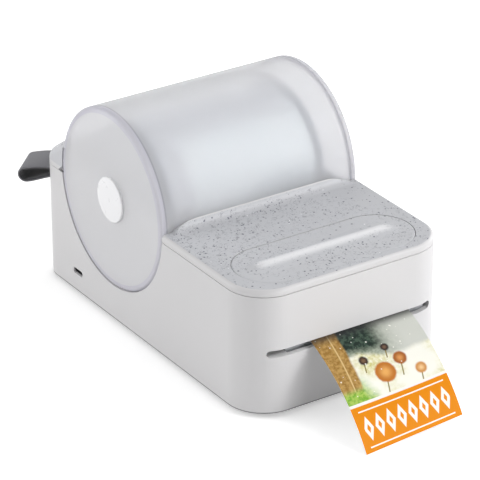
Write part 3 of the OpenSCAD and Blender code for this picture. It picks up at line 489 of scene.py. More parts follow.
def printed_sheet(name, leaves):
    """The printed strip: an orange end band with a row of white diamonds, a thin
    white gap, and above it a meadow of round leaves and light under soft hills.
    Over the last of its length, where it leaves the mouth, the print is painted dark: painted shade from inside the
    mouth."""
    shade = Shade(name, srgb(240, 238, 230), 0.55, Specular_IOR_Level=0.12, Coat_Weight=0.03, Coat_Roughness=0.15)
    u, v, _ = shade.split(shade.cloth())
    back = u.above(1.5)
    u = u - back * PAPER_BACK
    flat = shade.plane(u, v)
    wobble = shade.noise(flat, 4.2, 3, 0.55)
    fine = shade.noise(flat, 26, 3, 0.6)
    glow = shade.noise(shade.shifted(flat, 3.7, 1.9), 2.6, 2, 0.5)
    # the meadow, from the bottom of the picture to its top
    high = v - 0.03
    meadow = shade.blend(fine.above(0.5, 0.2), srgb(212, 206, 128), srgb(250, 247, 222))
    meadow = shade.blend(glow.above(0.5, 0.14), meadow, srgb(254, 253, 242))
    lush = shade.blend(fine.above(0.48, 0.12), srgb(122, 178, 60), srgb(176, 206, 96))
    meadow = shade.blend((u + wobble * 0.3).below(0.42, 0.1) * high.below(0.56, 0.1), meadow, lush)
    hill = (high - (u * 5.0 + 0.6).sine() * 0.055 - wobble * 0.1).above(0.71, 0.03)
    far = shade.blend(fine.above(0.5, 0.2), srgb(118, 132, 112), srgb(176, 184, 166))
    far = shade.blend(u.above(0.62, 0.22), far, srgb(212, 214, 206))
    picture = shade.blend(hill, meadow, far)
    shade_top = (high - (u * 3.4 + 2.2).sine() * 0.05).above(0.86, 0.04)
    deep = shade.blend(fine.above(0.52, 0.12), srgb(34, 48, 42), srgb(74, 94, 80))
    picture = shade.blend(shade_top * u.below(0.58, 0.1), picture, deep)
    # a tall golden leaf on the left, with a midrib
    lean = u - (high - 0.3) * 0.06
    leaf = (lean + wobble * 0.05).below(0.215, 0.015) * high.above(0.5, 0.04)
    gold = shade.blend(fine.above(0.5, 0.15), srgb(158, 118, 58), srgb(196, 158, 92))
    gold = shade.blend((lean - 0.11).absolute().below(0.006, 0.004), gold, srgb(226, 198, 140))
    picture = shade.blend(leaf, picture, gold)
    # round seed heads, each a disc with a lighter heart and a thin stalk
    for cx, cy, r, tone, heart in (
        (0.47, 0.575, 0.105, (196, 120, 48), (236, 176, 98)),
        (0.66, 0.655, 0.07, (170, 98, 44), (222, 156, 88)),
        (0.80, 0.50, 0.06, (214, 150, 84), (246, 206, 150)),
        (0.33, 0.74, 0.05, (60, 46, 40), (128, 96, 70)),
        (0.58, 0.80, 0.045, (52, 42, 40), (120, 92, 72)),
    ):
        dx, dy = u - cx, (high - cy) * 1.02
        ring = (dx * dx + dy * dy).power(0.5) + fine * 0.012
        stalk = (dx - dy * 0.25).absolute().below(0.006, 0.003) * dy.below(0.0) * dy.above(-r * 2.4)
        picture = shade.blend(stalk, picture, srgb(146, 132, 70))
        picture = shade.blend(ring.below(r, 0.01), picture, srgb(*tone))
        picture = shade.blend(ring.below(r * 0.5, r * 0.35), picture, srgb(*heart))
    sparks = shade.cells(flat, 24).below(0.16, 0.05) * shade.cell_draws(flat, 24)[0].above(0.7)
    picture = shade.blend(sparks * high.above(0.44), picture, srgb(255, 254, 246))
    # painted shade: the strip is painted dark where it comes out of the mouth
    picture = shade.blend(v.above(leaves - 0.045, 0.055) * 0.78, picture, srgb(58, 58, 60))
    # the border and the band
    band_top, gap_top = 0.394, 0.420
    sheet = shade.blend(v.above(gap_top, 0.002), srgb(252, 250, 244), picture)
    cell_u = (u * 4.4 + 0.3).folded(0.5) - 0.25
    diamonds = (cell_u.absolute() * 0.52 + (v - 0.192).absolute()).within(0.040, 0.108, 0.003)
    lines = v.within(0.032, 0.044).either(v.within(0.340, 0.352))
    marks = diamonds.either(lines) * u.within(0.06, 0.94)
    orange = shade.blend(marks, srgb(237, 143, 0), srgb(255, 253, 246))
    sheet = shade.blend(v.below(band_top, 0.001), sheet, orange)
    shade.set("Base Color", shade.blend(back, sheet, srgb(246, 246, 245)))
    return shade.relief(shade.noise(shade.place(), 2600, 2, 0.6), 0.01, 0.4)


def webbing(name, colour, across):
    """Flat woven strap: a tight herringbone of warp and weft on the strap's own
    length and width, with a firmer edge band."""
    shade = Shade(name, colour, 0.72, Sheen_Weight=0.35, Sheen_Roughness=0.5)
    u, v, _ = shade.split(shade.cloth())
    inner = u.above(1.01)
    u = u - inner * INNER_FACE
    warp = (u * (math.pi * across / 0.55)).sine().absolute()
    leg = (u * (across / 2.4)).folded(1.0)
    weft = ((v + leg * 1.3 * MM) * (math.pi / (0.7 * MM))).sine().absolute()
    weave = (warp * 0.55 + weft * 0.45).power(0.7)
    edge = (u - 0.5).absolute().above(0.455, 0.006)
    grime = shade.noise(shade.place(), 120, 3, 0.6)
    ground = shade.blend(weave, toned(colour, 0.45), toned(colour, 1.25))
    ground = shade.blend(grime * 0.35, ground, colour)
    ground = shade.blend(edge * 0.6, ground, srgb(126, 126, 130))
    # painted shade: the strap's inner face, inside the loop, is painted near black
    shade.set("Base Color", shade.blend(inner * 0.8, ground, srgb(30, 30, 34)))
    shade.set("Roughness", 0.82 - weave * 0.18)
    return shade.relief(weave, 0.14, 0.9)


def metal(name, colour, roughness, scale=(40, 40, 900), fineness=3.0):
    """Brushed, rolled or sintered metal: stretched noise for its lines."""
    shade = Shade(name, colour, roughness, Metallic=1.0)
    lines = shade.noise(shade.stretch(shade.place(), scale), fineness, 4, 0.6)
    shade.set("Roughness", lines * 0.16 + (roughness - 0.08))
    shade.set("Base Color", shade.blend(lines, toned(colour, 0.86), colour))
    return shade.relief(lines, 0.012, 0.5)


def rubber(name, colour, roughness=0.75, grain=0.05):
    """Matt rubber with a ground surface."""
    shade = Shade(name, colour, roughness, Specular_IOR_Level=0.35)
    place = shade.place()
    cloud = shade.noise(place, 220, 4, 0.6)
    shade.set("Base Color", shade.blend(cloud, colour, toned(colour, 1.5)))
    return shade.relief(shade.noise(place, 2000, 3, 0.7), grain, 0.7)


def circuit(name):
    """Lacquered board: darker traces on a fine grid, with tinned pads."""
    shade = Shade(name, srgb(28, 92, 66), 0.35, Coat_Weight=0.4, Coat_Roughness=0.15)
    x, y, _ = shade.axes()
    run_x = (x / (1.6 * MM)).folded(1.0).above(0.62, 0.05)
    run_y = (y / (2.1 * MM)).folded(1.0).above(0.66, 0.05)
    zone = shade.noise(shade.place(), 90, 1, 0.3).above(0.5, 0.01)
    traces = run_x * zone + run_y * (1 - zone)
    pads = shade.cells(shade.place(), 330).below(0.2, 0.03)
    ground = shade.blend(traces, srgb(24, 84, 60), srgb(52, 124, 88))
    shade.set("Base Color", shade.blend(pads * 0.8, ground, srgb(190, 190, 178)))
    return shade.relief(traces.either(pads), 0.03, 0.5)


def card(name):
    """Grey-brown board of a roll's core, with its spiral seam."""
    shade = Shade(name, srgb(176, 150, 116), 0.85)
    x, y, z = shade.axes()
    fibre = shade.noise(shade.place(), 500, 4, 0.65)
    seam = ((x + y * 0.9 + z * 0.9) / (14 * MM)).folded(1.0).below(0.05, 0.02)
    ground = shade.blend(fibre, srgb(156, 130, 98), srgb(194, 170, 136))
    shade.set("Base Color", shade.blend(seam, ground, srgb(128, 104, 76)))
    return shade.relief(fibre, 0.08, 0.7)


def wrapped_film(name):
    """The battery's shrink film: glossy, with soft wrinkles and a clear stripe."""
    shade = Shade(name, srgb(46, 84, 128), 0.3, Coat_Weight=0.5, Coat_Roughness=0.1)
    _, y, _ = shade.axes()
    stripe = y.within(-0.012, 0.002, 0.0004)
    tone = shade.blend(shade.noise(shade.place(), 70, 3, 0.5), srgb(38, 74, 116), srgb(58, 98, 146))
    shade.set("Base Color", shade.blend(stripe, tone, srgb(212, 214, 216)))
    return shade.relief(shade.noise(shade.stretch(shade.place(), (1, 4, 1)), 110, 3, 0.6), 0.25, 0.5)


def ribbon(name):
    """A flat cable of side by side conductors."""
    shade = Shade(name, srgb(226, 226, 220), 0.4)
    x, _, _ = shade.axes()
    lanes = (x / (0.5 * MM)).folded(1.0)
    shade.set("Base Color", shade.blend(lanes.above(0.5, 0.2), srgb(232, 232, 226), srgb(176, 170, 156)))
    return shade.relief(lanes, 0.05, 0.6)


def milky(name):
    """The cassette: milky plastic with a faint glow, painted light that stands for
    the light the frosted drum scatters round it. It is bright where the roll lies
    close behind it, and greyer at its ends and along its top. Low down it is
    greyer and glows less, as painted shade."""
    milk = Shade(name, srgb(248, 253, 255), 0.42, Alpha=0.95, Emission_Strength=0.05)
    x, _, z = milk.axes()
    drift = milk.noise(milk.place(), 50, 2, 0.5)
    sway = drift * 4 * MM
    bright = (x + sway).above(-25 * MM, 3.5 * MM) * (z + sway).below((DRUM_Z + 29.5) * MM, 4 * MM)
    # painted shade low down on the right: the plastic is greyer there and glows less
    low = z.below((DRUM_Z + 5) * MM, 5 * MM) * x.above(4 * MM, 14 * MM)
    milk.set("Emission Color", milk.blend(bright * (1 - low * 0.8), srgb(0, 0, 0), srgb(236, 248, 252)))
    body = milk.blend(bright, srgb(212, 216, 223), milk.blend(drift, srgb(232, 243, 247), srgb(246, 251, 253)))
    body = milk.blend(low * 0.8, body, srgb(192, 208, 217))
    right = float(corners("cassette_body")[1][0])
    milk.set("Base Color", milk.blend(x.above((right - 2.4) * MM, 0.9 * MM) * 0.85, body, srgb(150, 158, 168)))
    return milk.relief(milk.noise(milk.place(), 800, 2, 0.6), 0.02, 0.5)


# ---------------------------------------------------------------- settings


def millimetres(name, description, default, **limits):
    return bpy.props.FloatProperty(name=name, description=f"{description}, in millimetres", default=default, **limits)


def colouring(name, description, *default):
    return bpy.props.FloatVectorProperty(
        name=name, description=description, subtype="COLOR", size=4, default=srgb(*default)
    )


class StripPrinterShell(bpy.types.PropertyGroup):
    """Sizes and colours of the moulded shells."""

    edge_round: millimetres("Deck edge", "Radius of the deck cap's upper edge", 2.0, min=0.5, max=3)
    ramp: millimetres("Lip ramp", "Length of the hollow ramp up to the drum cover", 5.0)
    lip: millimetres("Lip height", "Height of the lip above the deck", 3.8)
    crest: millimetres("Crest", "Roundness of the crest on the feed button", 0.9, min=0.2, max=3)
    shoulder: millimetres("Hood shoulder", "Radius of the hood's side edges", 4.5, min=1, max=7)
    white: colouring("Housing", "Colour of the housing", 215, 214, 215)
    grey: colouring("Deck", "Ground colour of the speckled deck", 197, 198, 202)


class StripPrinterCover(bpy.types.PropertyGroup):
    """Sizes and colours of the drum cover."""

    rim: millimetres("Rim", "Radius of the rounded rim of the drum's ends", 1.5)
    wall: millimetres("Wall", "Thickness of the drum's wall", 2.2)
    through: bpy.props.FloatProperty(
        name="Light through", description="Share of the light that the frosted plastic lets through", default=0.6,
        min=0, max=1, subtype="FACTOR",
    )
    tint: colouring("Frosted plastic", "Colour of the drum cover", 243, 243, 245)
    rim_tint: colouring("Rim colour", "Colour of the rims of the drum's ends", 231, 230, 238)


class StripPrinterPaper(bpy.types.PropertyGroup):
    """Sizes of the hanging strip, and the strap's colour."""

    skew: millimetres("Turn", "How far the right corner of the strip's end lies behind the left", 2.9)
    drift: millimetres("Drift", "How far the strip's end lies to the left", 4.2)
    curl: millimetres("Cup", "How far the strip's edges stand above its middle", 0.4)
    webbing: colouring("Strap", "Colour of the strap's webbing", 98, 98, 104)


class StripPrinterStage(bpy.types.PropertyGroup):
    """Camera and light."""

    azimuth: bpy.props.FloatProperty(name="Azimuth", description="Camera's turn round the printer", default=-33.208)
    elevation: bpy.props.FloatProperty(name="Elevation", description="Camera's height above level", default=26.798)
    lens: bpy.props.FloatProperty(name="Lens", description="Focal length in millimetres", default=235.47)
    sky: bpy.props.FloatProperty(name="Room light", description="Strength of the even light", default=0.36)


# ---------------------------------------------------------------- pieces


class PRINTER_OT_deck_cap(bpy.types.Operator):
    """The speckled deck with its rounded edge, long opening and raised lip"""

    bl_idname = "printer.deck_cap"
    bl_label = "Deck Cap"

    def execute(self, context):
        s = context.scene.printer_shell
        rear = DRUM_Y - (DRUM_R + 0.3)
        low = SEAM + 0.12
        # from the hidden underside round a small chamfer, up the wall and over its edge
        rings = [(1.2, low), (0.26, low), (0.0, low + 0.24), (0.0, DECK - s.edge_round)]
        rings += [(i, DECK - d) for d, i in zip(*quarter(s.edge_round, 9))][1:]
        grid = [level(deck_outline(inset, rear), z) for inset, z in rings]
        outer = deck_outline(s.edge_round, rear)
        inner = pill_ray(outer, PILL_LONG + PILL_GAP, PILL_DEEP + PILL_GAP, PILL_Y)
        # closer lines near the lip and near the opening
        t = np.concatenate([steps(0, 0.3, 34), steps(0.3, 0.92, 14)[1:], steps(0.92, 1, 6)[1:]])
        grid += [level(outer + (inner - outer) * f, DECK) for f in t[1:]]
        # the opening's wall; the underside then runs back to the first ring
        grid += [level(inner, DECK - depth) for depth in (0.1, 0.25, 2.4)]
        grid = np.array(grid)
        # the ramp: a hollow arc, cut off by the lip's own height, which falls away
        # in a wide arc beyond its straight middle
        x, y = grid[..., 0], grid[..., 1]
        run = np.clip(y - (rear - s.ramp), 0, s.ramp)
        rise = s.ramp - np.sqrt(np.maximum(s.ramp**2 - run**2, 0))
        straight, fall_r = 33.0, 26.0
        past = np.clip(np.abs(x) - straight, 0, fall_r - 0.1)
        limit = s.lip - (fall_r - np.sqrt(fall_r**2 - past**2))
        lift = np.minimum(rise, np.maximum(limit, 0))
        on_top = np.arange(len(grid)) >= len(rings) - 1
        grid[..., 2] += np.where(on_top[:, None], lift, lift * np.clip((grid[..., 2] - low) / (DECK - low), 0, 1))
        piece = mend(skin("speckled_deck_cap", grid, wrap_u=True, wrap_v=True), angle=40)
        # the rim below the deck's top and the lip's edge behind the rear are a painted highlight, plain and light
        look = speckled("speckled plastic", tuple(s.grey), DECK - 0.12, rear=rear - 0.3)
        dress(piece, look, "base", "deck_grey", "deck_cap")
        return {"FINISHED"}


class PRINTER_OT_feed_button(bpy.types.Operator):
    """The long button with its soft raised bar"""

    bl_idname = "printer.feed_button"
    bl_label = "Feed Button"

    def execute(self, context):
        s = context.scene.printer_shell
        plan = deck_outline(2.0, DRUM_Y - 42)
        outline = pill_ray(plan, PILL_LONG, PILL_DEEP, PILL_Y)
        ridge_long, ridge_deep, edge = 27.6, 0.6, 0.3
        middle = pill_ray(plan, ridge_long, ridge_deep, PILL_Y)
        # the rounded edge draws the outline in towards the middle
        axis, reach = np.array([0.0, PILL_Y]), 18.0
        grid = [level(outline, DECK - depth) for depth in (3.4, edge)]
        for d, i in list(zip(*quarter(edge, 5)))[1:]:
            grid.append(level(axis + (outline - axis) * (1 - i / reach), DECK - d))
        start = grid[-1][:, :2]
        grid += [level(start + (middle - start) * f, DECK) for f in steps(0, 1, 46)[1:]]
        grid = np.array(grid)
        # the bar: two slopes that meet in a crest of small radius and run out flat
        bar_half, bar_deep = 30.5, 6.4
        x, y = grid[..., 0], grid[..., 1] - PILL_Y
        off = np.hypot(np.maximum(np.abs(x) - bar_half, 0) * 0.8, y)
        slope = np.clip(1 - (np.sqrt(off**2 + s.crest**2) - s.crest) / bar_deep, 0, 1)
        grid[2:, :, 2] += (BAR_HIGH * slope**1.2)[2:]
        # both faces close on the middle
        upper, lower = grid[-1].copy(), grid[0].copy()
        upper[:, :2] = lower[:, :2] = (0.0, PILL_Y)
        upper[:, 2] = upper[:, 2].max()
        grid = np.concatenate([lower[None], grid, upper[None]])
        piece = mend(skin("feed_button_top", grid, wrap_v=True), angle=45)
        # painted highlight: the bar is painted lighter above the crest height
        look = speckled("speckled button", tuple(s.grey), DECK - 1.5, crest=DECK + 1.35)
        look.set("Coat Weight", 0.25)
        look.set("Coat Roughness", 0.25)
        dress(piece, look, "button", "deck_grey", "feed_button")
        return {"FINISHED"}


def round_edge(radius, face, r, count):
    """The quarter circle of radius r that joins a disc's face to its rim."""
    a = np.radians(steps(0, 90, count))
    return [(radius - r + r * math.sin(t), face - r + r * math.cos(t)) for t in a]


def drum_end(name, side, rim):
    """One end of the drum: a solid disc with a rounded rim, its outer face flat
    and dished by a hair, revolved about the drum's axis."""
    outer, inner = HALF_WIDTH, HALF_WIDTH - DISC_T
    dish = ((0.0, 0.35), (8.0, 0.33), (20.0, 0.22), (32.0, 0.08))
    profile = [(radius, outer - depth) for radius, depth in dish]
    profile += round_edge(DRUM_R, outer, rim, 10)
    profile += [(radius, inner) for radius in (DRUM_R, DRUM_R - 1.0, 20.0, 0.0)]
    radius, x = np.array(profile).T
    return mend(skin(name, revolved(side * x, radius, full_turn(160)), wrap_v=True), angle=50)


class PRINTER_OT_drum_cover(bpy.types.Operator):
    """The frosted drum: half a tube between two full end discs"""

    bl_idname = "printer.drum_cover"
    bl_label = "Drum Cover"

    def execute(self, context):
        s = context.scene.printer_cover
        low = math.asin((SEAM + 0.3 - DRUM_Z) / DRUM_R)
        turn = steps(low, math.pi - low, 150)
        half, inner = HALF_WIDTH - DISC_T, DRUM_R - s.wall
        x = np.concatenate([steps(half, -half, 24), steps(-half, half, 24)])
        grid = revolved(x, np.repeat([DRUM_R, inner], 24), turn)
        shell = skin("drum_shell", grid, wrap_u=True)
        # the two long edges of the tube are closed with a strip each
        caps = [
            skin(f"drum_edge_{k}", np.stack([end[:24], end[24:][::-1]], 0))
            for k, end in enumerate((grid[:, 0], grid[:, -1]))
        ]
        shell = mend(join("drum_shell", [shell] + caps), angle=40)
        rim = tuple(s.rim_tint)
        frost = frosted("frosted plastic", tuple(s.tint), s.through, 0.68, 0.36, toned(rim, 0.8))
        thick = frosted("frosted end plastic", tuple(s.tint), s.through * 0.5, 0.86, 0.36, rim)
        dress(shell, frost, "cover", "frosted_lilac", "cover_shell")
        for side, end, look in ((-1, "left", thick), (1, "right", frost)):
            disc = drum_end(f"drum_end_{end}", side, s.rim)
            dress(disc, look, "cover", "frosted_lilac", f"cover_disc_{end}")
        return {"FINISHED"}


class PRINTER_OT_badge(bpy.types.Operator):
    """The blank white badge: a button with a soft edge"""

    bl_idname = "printer.badge"
    bl_label = "Blank Badge"

    def execute(self, context):
        low, high = corners("side_badge")
        r = (high[2] - low[2]) / 2
        face = -low[0]
        profile = [(0.0, face - 0.06), (r * 0.6, face - 0.03)]
        profile += round_edge(r, face, 0.5, 7)
        profile += [(r, -high[0]), (0.0, -high[0])]
        radius, x = np.array(profile).T
        piece = mend(skin("blank_badge", revolved(-x, radius, full_turn(96)), wrap_v=True), angle=50)
        shade = Shade("badge white", srgb(246, 246, 248), 0.28, Coat_Weight=0.3, Coat_Roughness=0.1)
        shade.relief(shade.noise(shade.place(), 900, 2, 0.5), 0.01, 0.4)
        shade.set("Roughness", shade.noise(shade.place(), 300, 2, 0.5) * 0.1 + 0.24)
        dress(piece, shade, "cover", "badge_white", "side_badge")
        return {"FINISHED"}


class PRINTER_OT_housing(bpy.types.Operator):
    """Finishes of the housing, base and foot"""

    bl_idname = "printer.housing"
    bl_label = "Housing Finish"

    def execute(self, context):
        s = context.scene.printer_shell

        def details(shade, ground):
            """A painted lighter shelf inside the mouth's left end, painted light against the shade of the recess, and
            a painted dark line along the bottom edge, painted shade for the gap under the body.
            """
            x, y, z = shade.axes()
            # painted light: the up-facing shelf in the mouth's left end is painted near white
            shelf = z.within(28 * MM, 32 * MM) * y.within(FRONT * MM, (FRONT + 14) * MM) * x.below(0.0)
            ground = shade.blend(shelf * shade.facing_up(), ground, srgb(252, 252, 252))
            # painted shade: a dark band along the bottom edge, for the shade in the gap under the body
            foot = z.below((HOUSING_LOW[2] + 0.45) * MM, 0.12 * MM)
            return shade.blend(foot, ground, srgb(112, 112, 114))

        finish("main_housing", moulded("housing plastic", tuple(s.white), 0.45, details=details))
        finish("base_plate", moulded("base plastic", srgb(96, 96, 98), 0.55, 0.05))
        finish("rubber_foot", rubber("foot rubber", srgb(40, 40, 42)))
        return {"FINISHED"}


class PRINTER_OT_rear_hood(bpy.types.Operator):
    """The moulded hood behind the drum, with soft shoulders and two knuckles"""

    bl_idname = "printer.rear_hood"
    bl_label = "Rear Hood"

    def execute(self, context):
        s = context.scene.printer_shell
        bottom = SEAM + 0.2
        # the side line: from the drum straight down to a shoulder of radius r
        r, lean = 8.0, math.radians(20)
        start = np.array([DRUM_Y + DRUM_R * math.cos(lean), DRUM_Z + DRUM_R * math.sin(lean)])
        mid = np.array([REAR - r, SEAM - 1.0])
        span = math.dist(start, mid)
        aim = math.atan2(*(mid - start)[::-1]) + math.asin(r / span)
        touch = start + math.sqrt(span**2 - r**2) * np.array([math.cos(aim), math.sin(aim)])
        line = start + (touch - start) * steps(0, 1, 26)[:, None]
        turn = steps(aim + math.pi / 2, math.asin((bottom - mid[1]) / r), 24)[1:]
        line = np.concatenate([line, mid + r * np.stack([np.cos(turn), np.sin(turn)], -1)])
        y, z = line[:, :1], line[:, 1:]
        # each cross-section: up the side, round the shoulder and over to the middle
        past = np.maximum(y - (REAR - REAR_R), 0)
        half = HALF_WIDTH - REAR_R + np.sqrt(np.maximum(REAR_R**2 - past**2, 0))
        edge = np.minimum(s.shoulder, z - bottom)
        a = np.radians(steps(0, 90, 9))[None, 1:]
        up = steps(0, 1, 7)[None, :]
        side_x = np.concatenate([half + 0 * up, half - edge * (1 - np.cos(a))], 1)
        side_z = np.concatenate([bottom + (z - edge - bottom) * up, z - edge * (1 - np.sin(a))], 1)
        flat = steps(1, -1, 76)[None, 1:-1]
        xx = np.concatenate([side_x, (half - edge) * flat, -side_x[:, ::-1]], 1)
        zz = np.concatenate([side_z, z + 0 * flat, side_z[:, ::-1]], 1)
        # the front edge follows the drum, and small pockets clear the fixed knuckles
        drum = DRUM_Y + np.sqrt(np.maximum((DRUM_R + 0.15) ** 2 - (zz - DRUM_Z) ** 2, 0))
        yy = np.maximum(y + 0 * xx, drum)
        pocket_r = 2.9
        dy, dz = yy - AXIS_Y, zz - SEAM
        away = np.maximum(np.hypot(dy, dz), 1e-6)
        beside = np.abs(np.abs(xx) - KNUCKLE_X)
        push = np.where((beside < 8.9) & (beside > 3.6) & (away < pocket_r), pocket_r / away, 1.0)
        grid = np.stack([xx, AXIS_Y + dy * push, np.maximum(SEAM + dz * push, bottom)], -1)
        piece = mend(skin("hood_shell", grid), 0.02)
        if sum(f.area * f.normal.z for f in piece.data.polygons) < 0:
            piece.data.flip_normals()
        wall = piece.modifiers.new("wall", "SOLIDIFY")
        wall.thickness, wall.offset = 2.0 * MM, -1
        bpy.context.view_layer.objects.active = piece
        bpy.ops.object.modifier_apply(modifier=wall.name)
        piece = join("hood_shell", [piece] + [self.knuckle(side) for side in (-1, 1)])
        piece.data.set_sharp_from_angle(angle=math.radians(40))
        # painted highlight: a light band along the seam, at the shoulders' lower edge
        look = speckled("speckled hood", tuple(s.grey), SEAM + 2.4, 0.5, lean=-1)
        dress(piece, look, "cover", "deck_grey", "rear_hood")
        return {"FINISHED"}

    def knuckle(self, side):
        """A short tube about the hinge's axis, with a web that joins it to the hood."""
        x0, x1 = side * KNUCKLE_X - 4, side * KNUCKLE_X + 4
        radius = np.array([1.05, 2.2, 2.5, 2.5, 2.2, 1.05])
        x = np.array([x0, x0, x0 + 0.3, x1 - 0.3, x1, x1])
        tube = revolved(x, radius, full_turn(40), AXIS_Y, SEAM)
        # the web's section, drawn in to its middle at both ends
        ring = np.array([(-1.7, 0.7), (0.2, 0.7), (0.2, 2.1), (-0.7, 2.3), (-1.7, 2.3)]) + (REAR, SEAM)
        ends = np.array([x0 + 0.1, x0 + 0.1, x1 - 0.1, x1 - 0.1])[:, None]
        size = np.array([0.0, 1.0, 1.0, 0.0])[:, None]
        y, z = (middle + size * (line - middle) for line, middle in zip(ring.T, ring.mean(0)))
        web = np.stack([ends + 0 * y, y, z], -1)
        parts = [mend(skin("knuckle_tube", tube, True, True)), mend(skin("knuckle_web", web, False, True))]
        return join("knuckle", parts)


class PRINTER_OT_strap(bpy.types.Operator):
    """The webbing loop at the rear left corner"""

    bl_idname = "printer.strap"
    bl_label = "Strap Loop"

    def execute(self, context):
        s = context.scene.printer_paper
        width, thick = 17.6, 1.4
        out, loop_r, drop = 15.4, 3.7, 2.1
        hidden, root_z = 6.0, SEAM - 6.6
        # outwards at 45 degrees from the middle of the rear left corner
        corner = np.array([-HALF_WIDTH + REAR_R, REAR - REAR_R])
        d = np.array([math.cos(math.radians(135)), math.sin(math.radians(135))])
        side = np.array([-d[1], d[0]])
        # the middle line: from the root up to a crest, round the nose, and back
        # along the bottom in a slack S until it lies against its upper run
        mid_r, nose = loop_r - thick / 2, math.radians(76)
        top_in = np.array([-hidden, thick / 2 + 0.02])
        low_in = np.array([-hidden, -thick / 2 - 0.02])
        a = steps(nose, math.radians(-94), 40)
        end = np.stack([out - loop_r + mid_r * np.cos(a), -drop + mid_r * np.sin(a)], -1)
        t = steps(0, 1, 26)[:, None]

        def run(p, q, leave, arrive):
            """A cubic from p to q that leaves and arrives in the given directions."""
            h = 2 * t**3 - 3 * t**2 + 1, t**3 - 2 * t**2 + t, 3 * t**2 - 2 * t**3, t**3 - t**2
            return h[0] * p + h[1] * np.array(leave) + h[2] * q + h[3] * np.array(arrive)

        over = run(top_in, end[0], (17, 8.6), (13, -13 / math.tan(nose)))
        back = run(end[-1], low_in, (-11, 0.8), (-17, -0.6))
        line = np.concatenate([over[:-1], end, back[1:]])
        tangent = np.gradient(line, axis=0)
        tangent /= np.linalg.norm(tangent, axis=1)[:, None]
        normal = np.stack([-tangent[:, 1], tangent[:, 0]], -1)
        length = np.concatenate([[0], np.cumsum(np.linalg.norm(np.diff(line, axis=0), axis=1))])
        # a cross-section with rounded edges, carried along the line
        half, soft, flat = width / 2, 0.4, 15
        a = np.radians([60, 0, -60])
        w = np.concatenate([steps(-half + soft, half - soft, flat), half - soft + soft * np.cos(a)])
        h = np.concatenate([np.full(flat, thick / 2), thick / 2 * np.sin(a)])
        w, h = np.concatenate([w, -w]), np.concatenate([h, -h])
        n = np.arange(len(w))
        inside = (n >= flat + 2) & (n < len(w) - 2)
        points = line[:, None, :] + normal[:, None, :] * h[None, :, None]
        across = np.broadcast_to(w[None, :], points.shape[:2]) - (half - 1.0)
        reach = REAR_R + points[..., 0]
        xy = corner + reach[..., None] * d + across[..., None] * side
        grid = np.concatenate([xy, (root_z + points[..., 1])[..., None]], -1)
        u = np.broadcast_to((w / width + 0.5 + INNER_FACE * inside)[None, :], points.shape[:2])
        uv = np.stack([u, np.broadcast_to(length[:, None] * MM, points.shape[:2])], -1)
        # each end closes on its middle
        grid = np.concatenate([0 * grid[:1] + grid[0].mean(0), grid, 0 * grid[:1] + grid[-1].mean(0)])
        uv = np.concatenate([uv[:1], uv, uv[-1:]])
        piece = mend(skin("strap_loop", grid, wrap_v=True, uv=uv), 0.001, 60)
        dress(piece, webbing("strap webbing", tuple(s.webbing), width), "base", "webbing_grey", "carry_strap")
        finish("strap_anchor", moulded("anchor plastic", srgb(110, 110, 112), 0.5))
        return {"FINISHED"}


class PRINTER_OT_paper(bpy.types.Operator):
    """The printed strip, the roll and the tear bar"""

    bl_idname = "printer.paper"
    bl_label = "Paper"

    def execute(self, context):
        s = context.scene.printer_paper
        low, high = corners("printed_strip")
        width, thick = high[0] - low[0], 0.2
        # the middle line: level from the roll, a bend just before the mouth, and
        # outside it a wide arc down to the table
        bend_r, bend = 24.0, math.radians(20.8)
        web_z, droop_r = float(high[2]) - 0.15, 142.0
        bend_y, droop_y = (FRONT + 2 + r * math.sin(bend) for r in (bend_r, droop_r))
        droop_z = web_z - bend_r * (1 - math.cos(bend)) - droop_r * math.cos(bend)
        tip = math.acos((0.6 - droop_z) / droop_r)
        a1, a2 = steps(0, bend, 14)[:-1], steps(bend, tip, 90)
        y = [steps(DRUM_Y, bend_y, 24)[:-1], bend_y - bend_r * np.sin(a1), droop_y - droop_r * np.sin(a2)]
        z = [np.full(23, web_z), web_z - bend_r * (1 - np.cos(a1)), droop_z + droop_r * np.cos(a2)]
        y, z = np.concatenate(y), np.concatenate(z)
        run = np.concatenate([[0], np.cumsum(np.hypot(np.diff(y), np.diff(z)))])
        total, hanging = run[-1], 62
        # the hanging part turns a little to the left: its right edge is drawn back
        count = 25
        across = steps(-0.5, 0.5, count)
        free = np.clip((run - (total - hanging)) / hanging, 0, 1)
        place = run[:, None] - (across + 0.5)[None, :] * s.skew * free[:, None]
        yy, zz = np.interp(place, run, y), np.interp(place, run, z)
        zz = zz + (s.curl * (across * 2) ** 2)[None, :] * (free * (1 - free) * 4)[:, None]
        xx = low[0] + (across + 0.5)[None, :] * width - s.drift * free[:, None] ** 2
        top, under = (np.stack([xx, yy, zz + lift], -1) for lift in (thick / 2, -thick / 2))
        # one closed loop of points round each cross-section
        loop = np.concatenate([top, under[:, ::-1]], 1)
        u = np.concatenate([across + 0.5, (across + 0.5)[::-1] + PAPER_BACK])
        v = np.broadcast_to(((total - run) / width)[:, None], loop.shape[:2])
        uv = np.stack([np.broadcast_to(u[None, :], v.shape), v], -1)
        pieces = [skin("printed_strip_sheet", loop, wrap_v=True, uv=uv)]
        for k in (0, -1):
            edge = np.stack([top[k], under[k]], 0)
            pieces.append(skin("strip_end", edge, uv=np.stack([uv[k, :count]] * 2, 0)))
        piece = mend(join("printed_strip_sheet", pieces), 0.001, 50)
        leaves = float(np.interp(FRONT, y[::-1], v[::-1, 0]))
        dress(piece, printed_sheet("printed paper", leaves), "base", "strip_print", "printed_strip")
        finish("paper_roll", wound_paper("wound paper"))
        finish("roll_core", card("core board"))
        finish("tear_bar", moulded("blasted tear bar", srgb(184, 186, 190), 0.5))
        return {"FINISHED"}


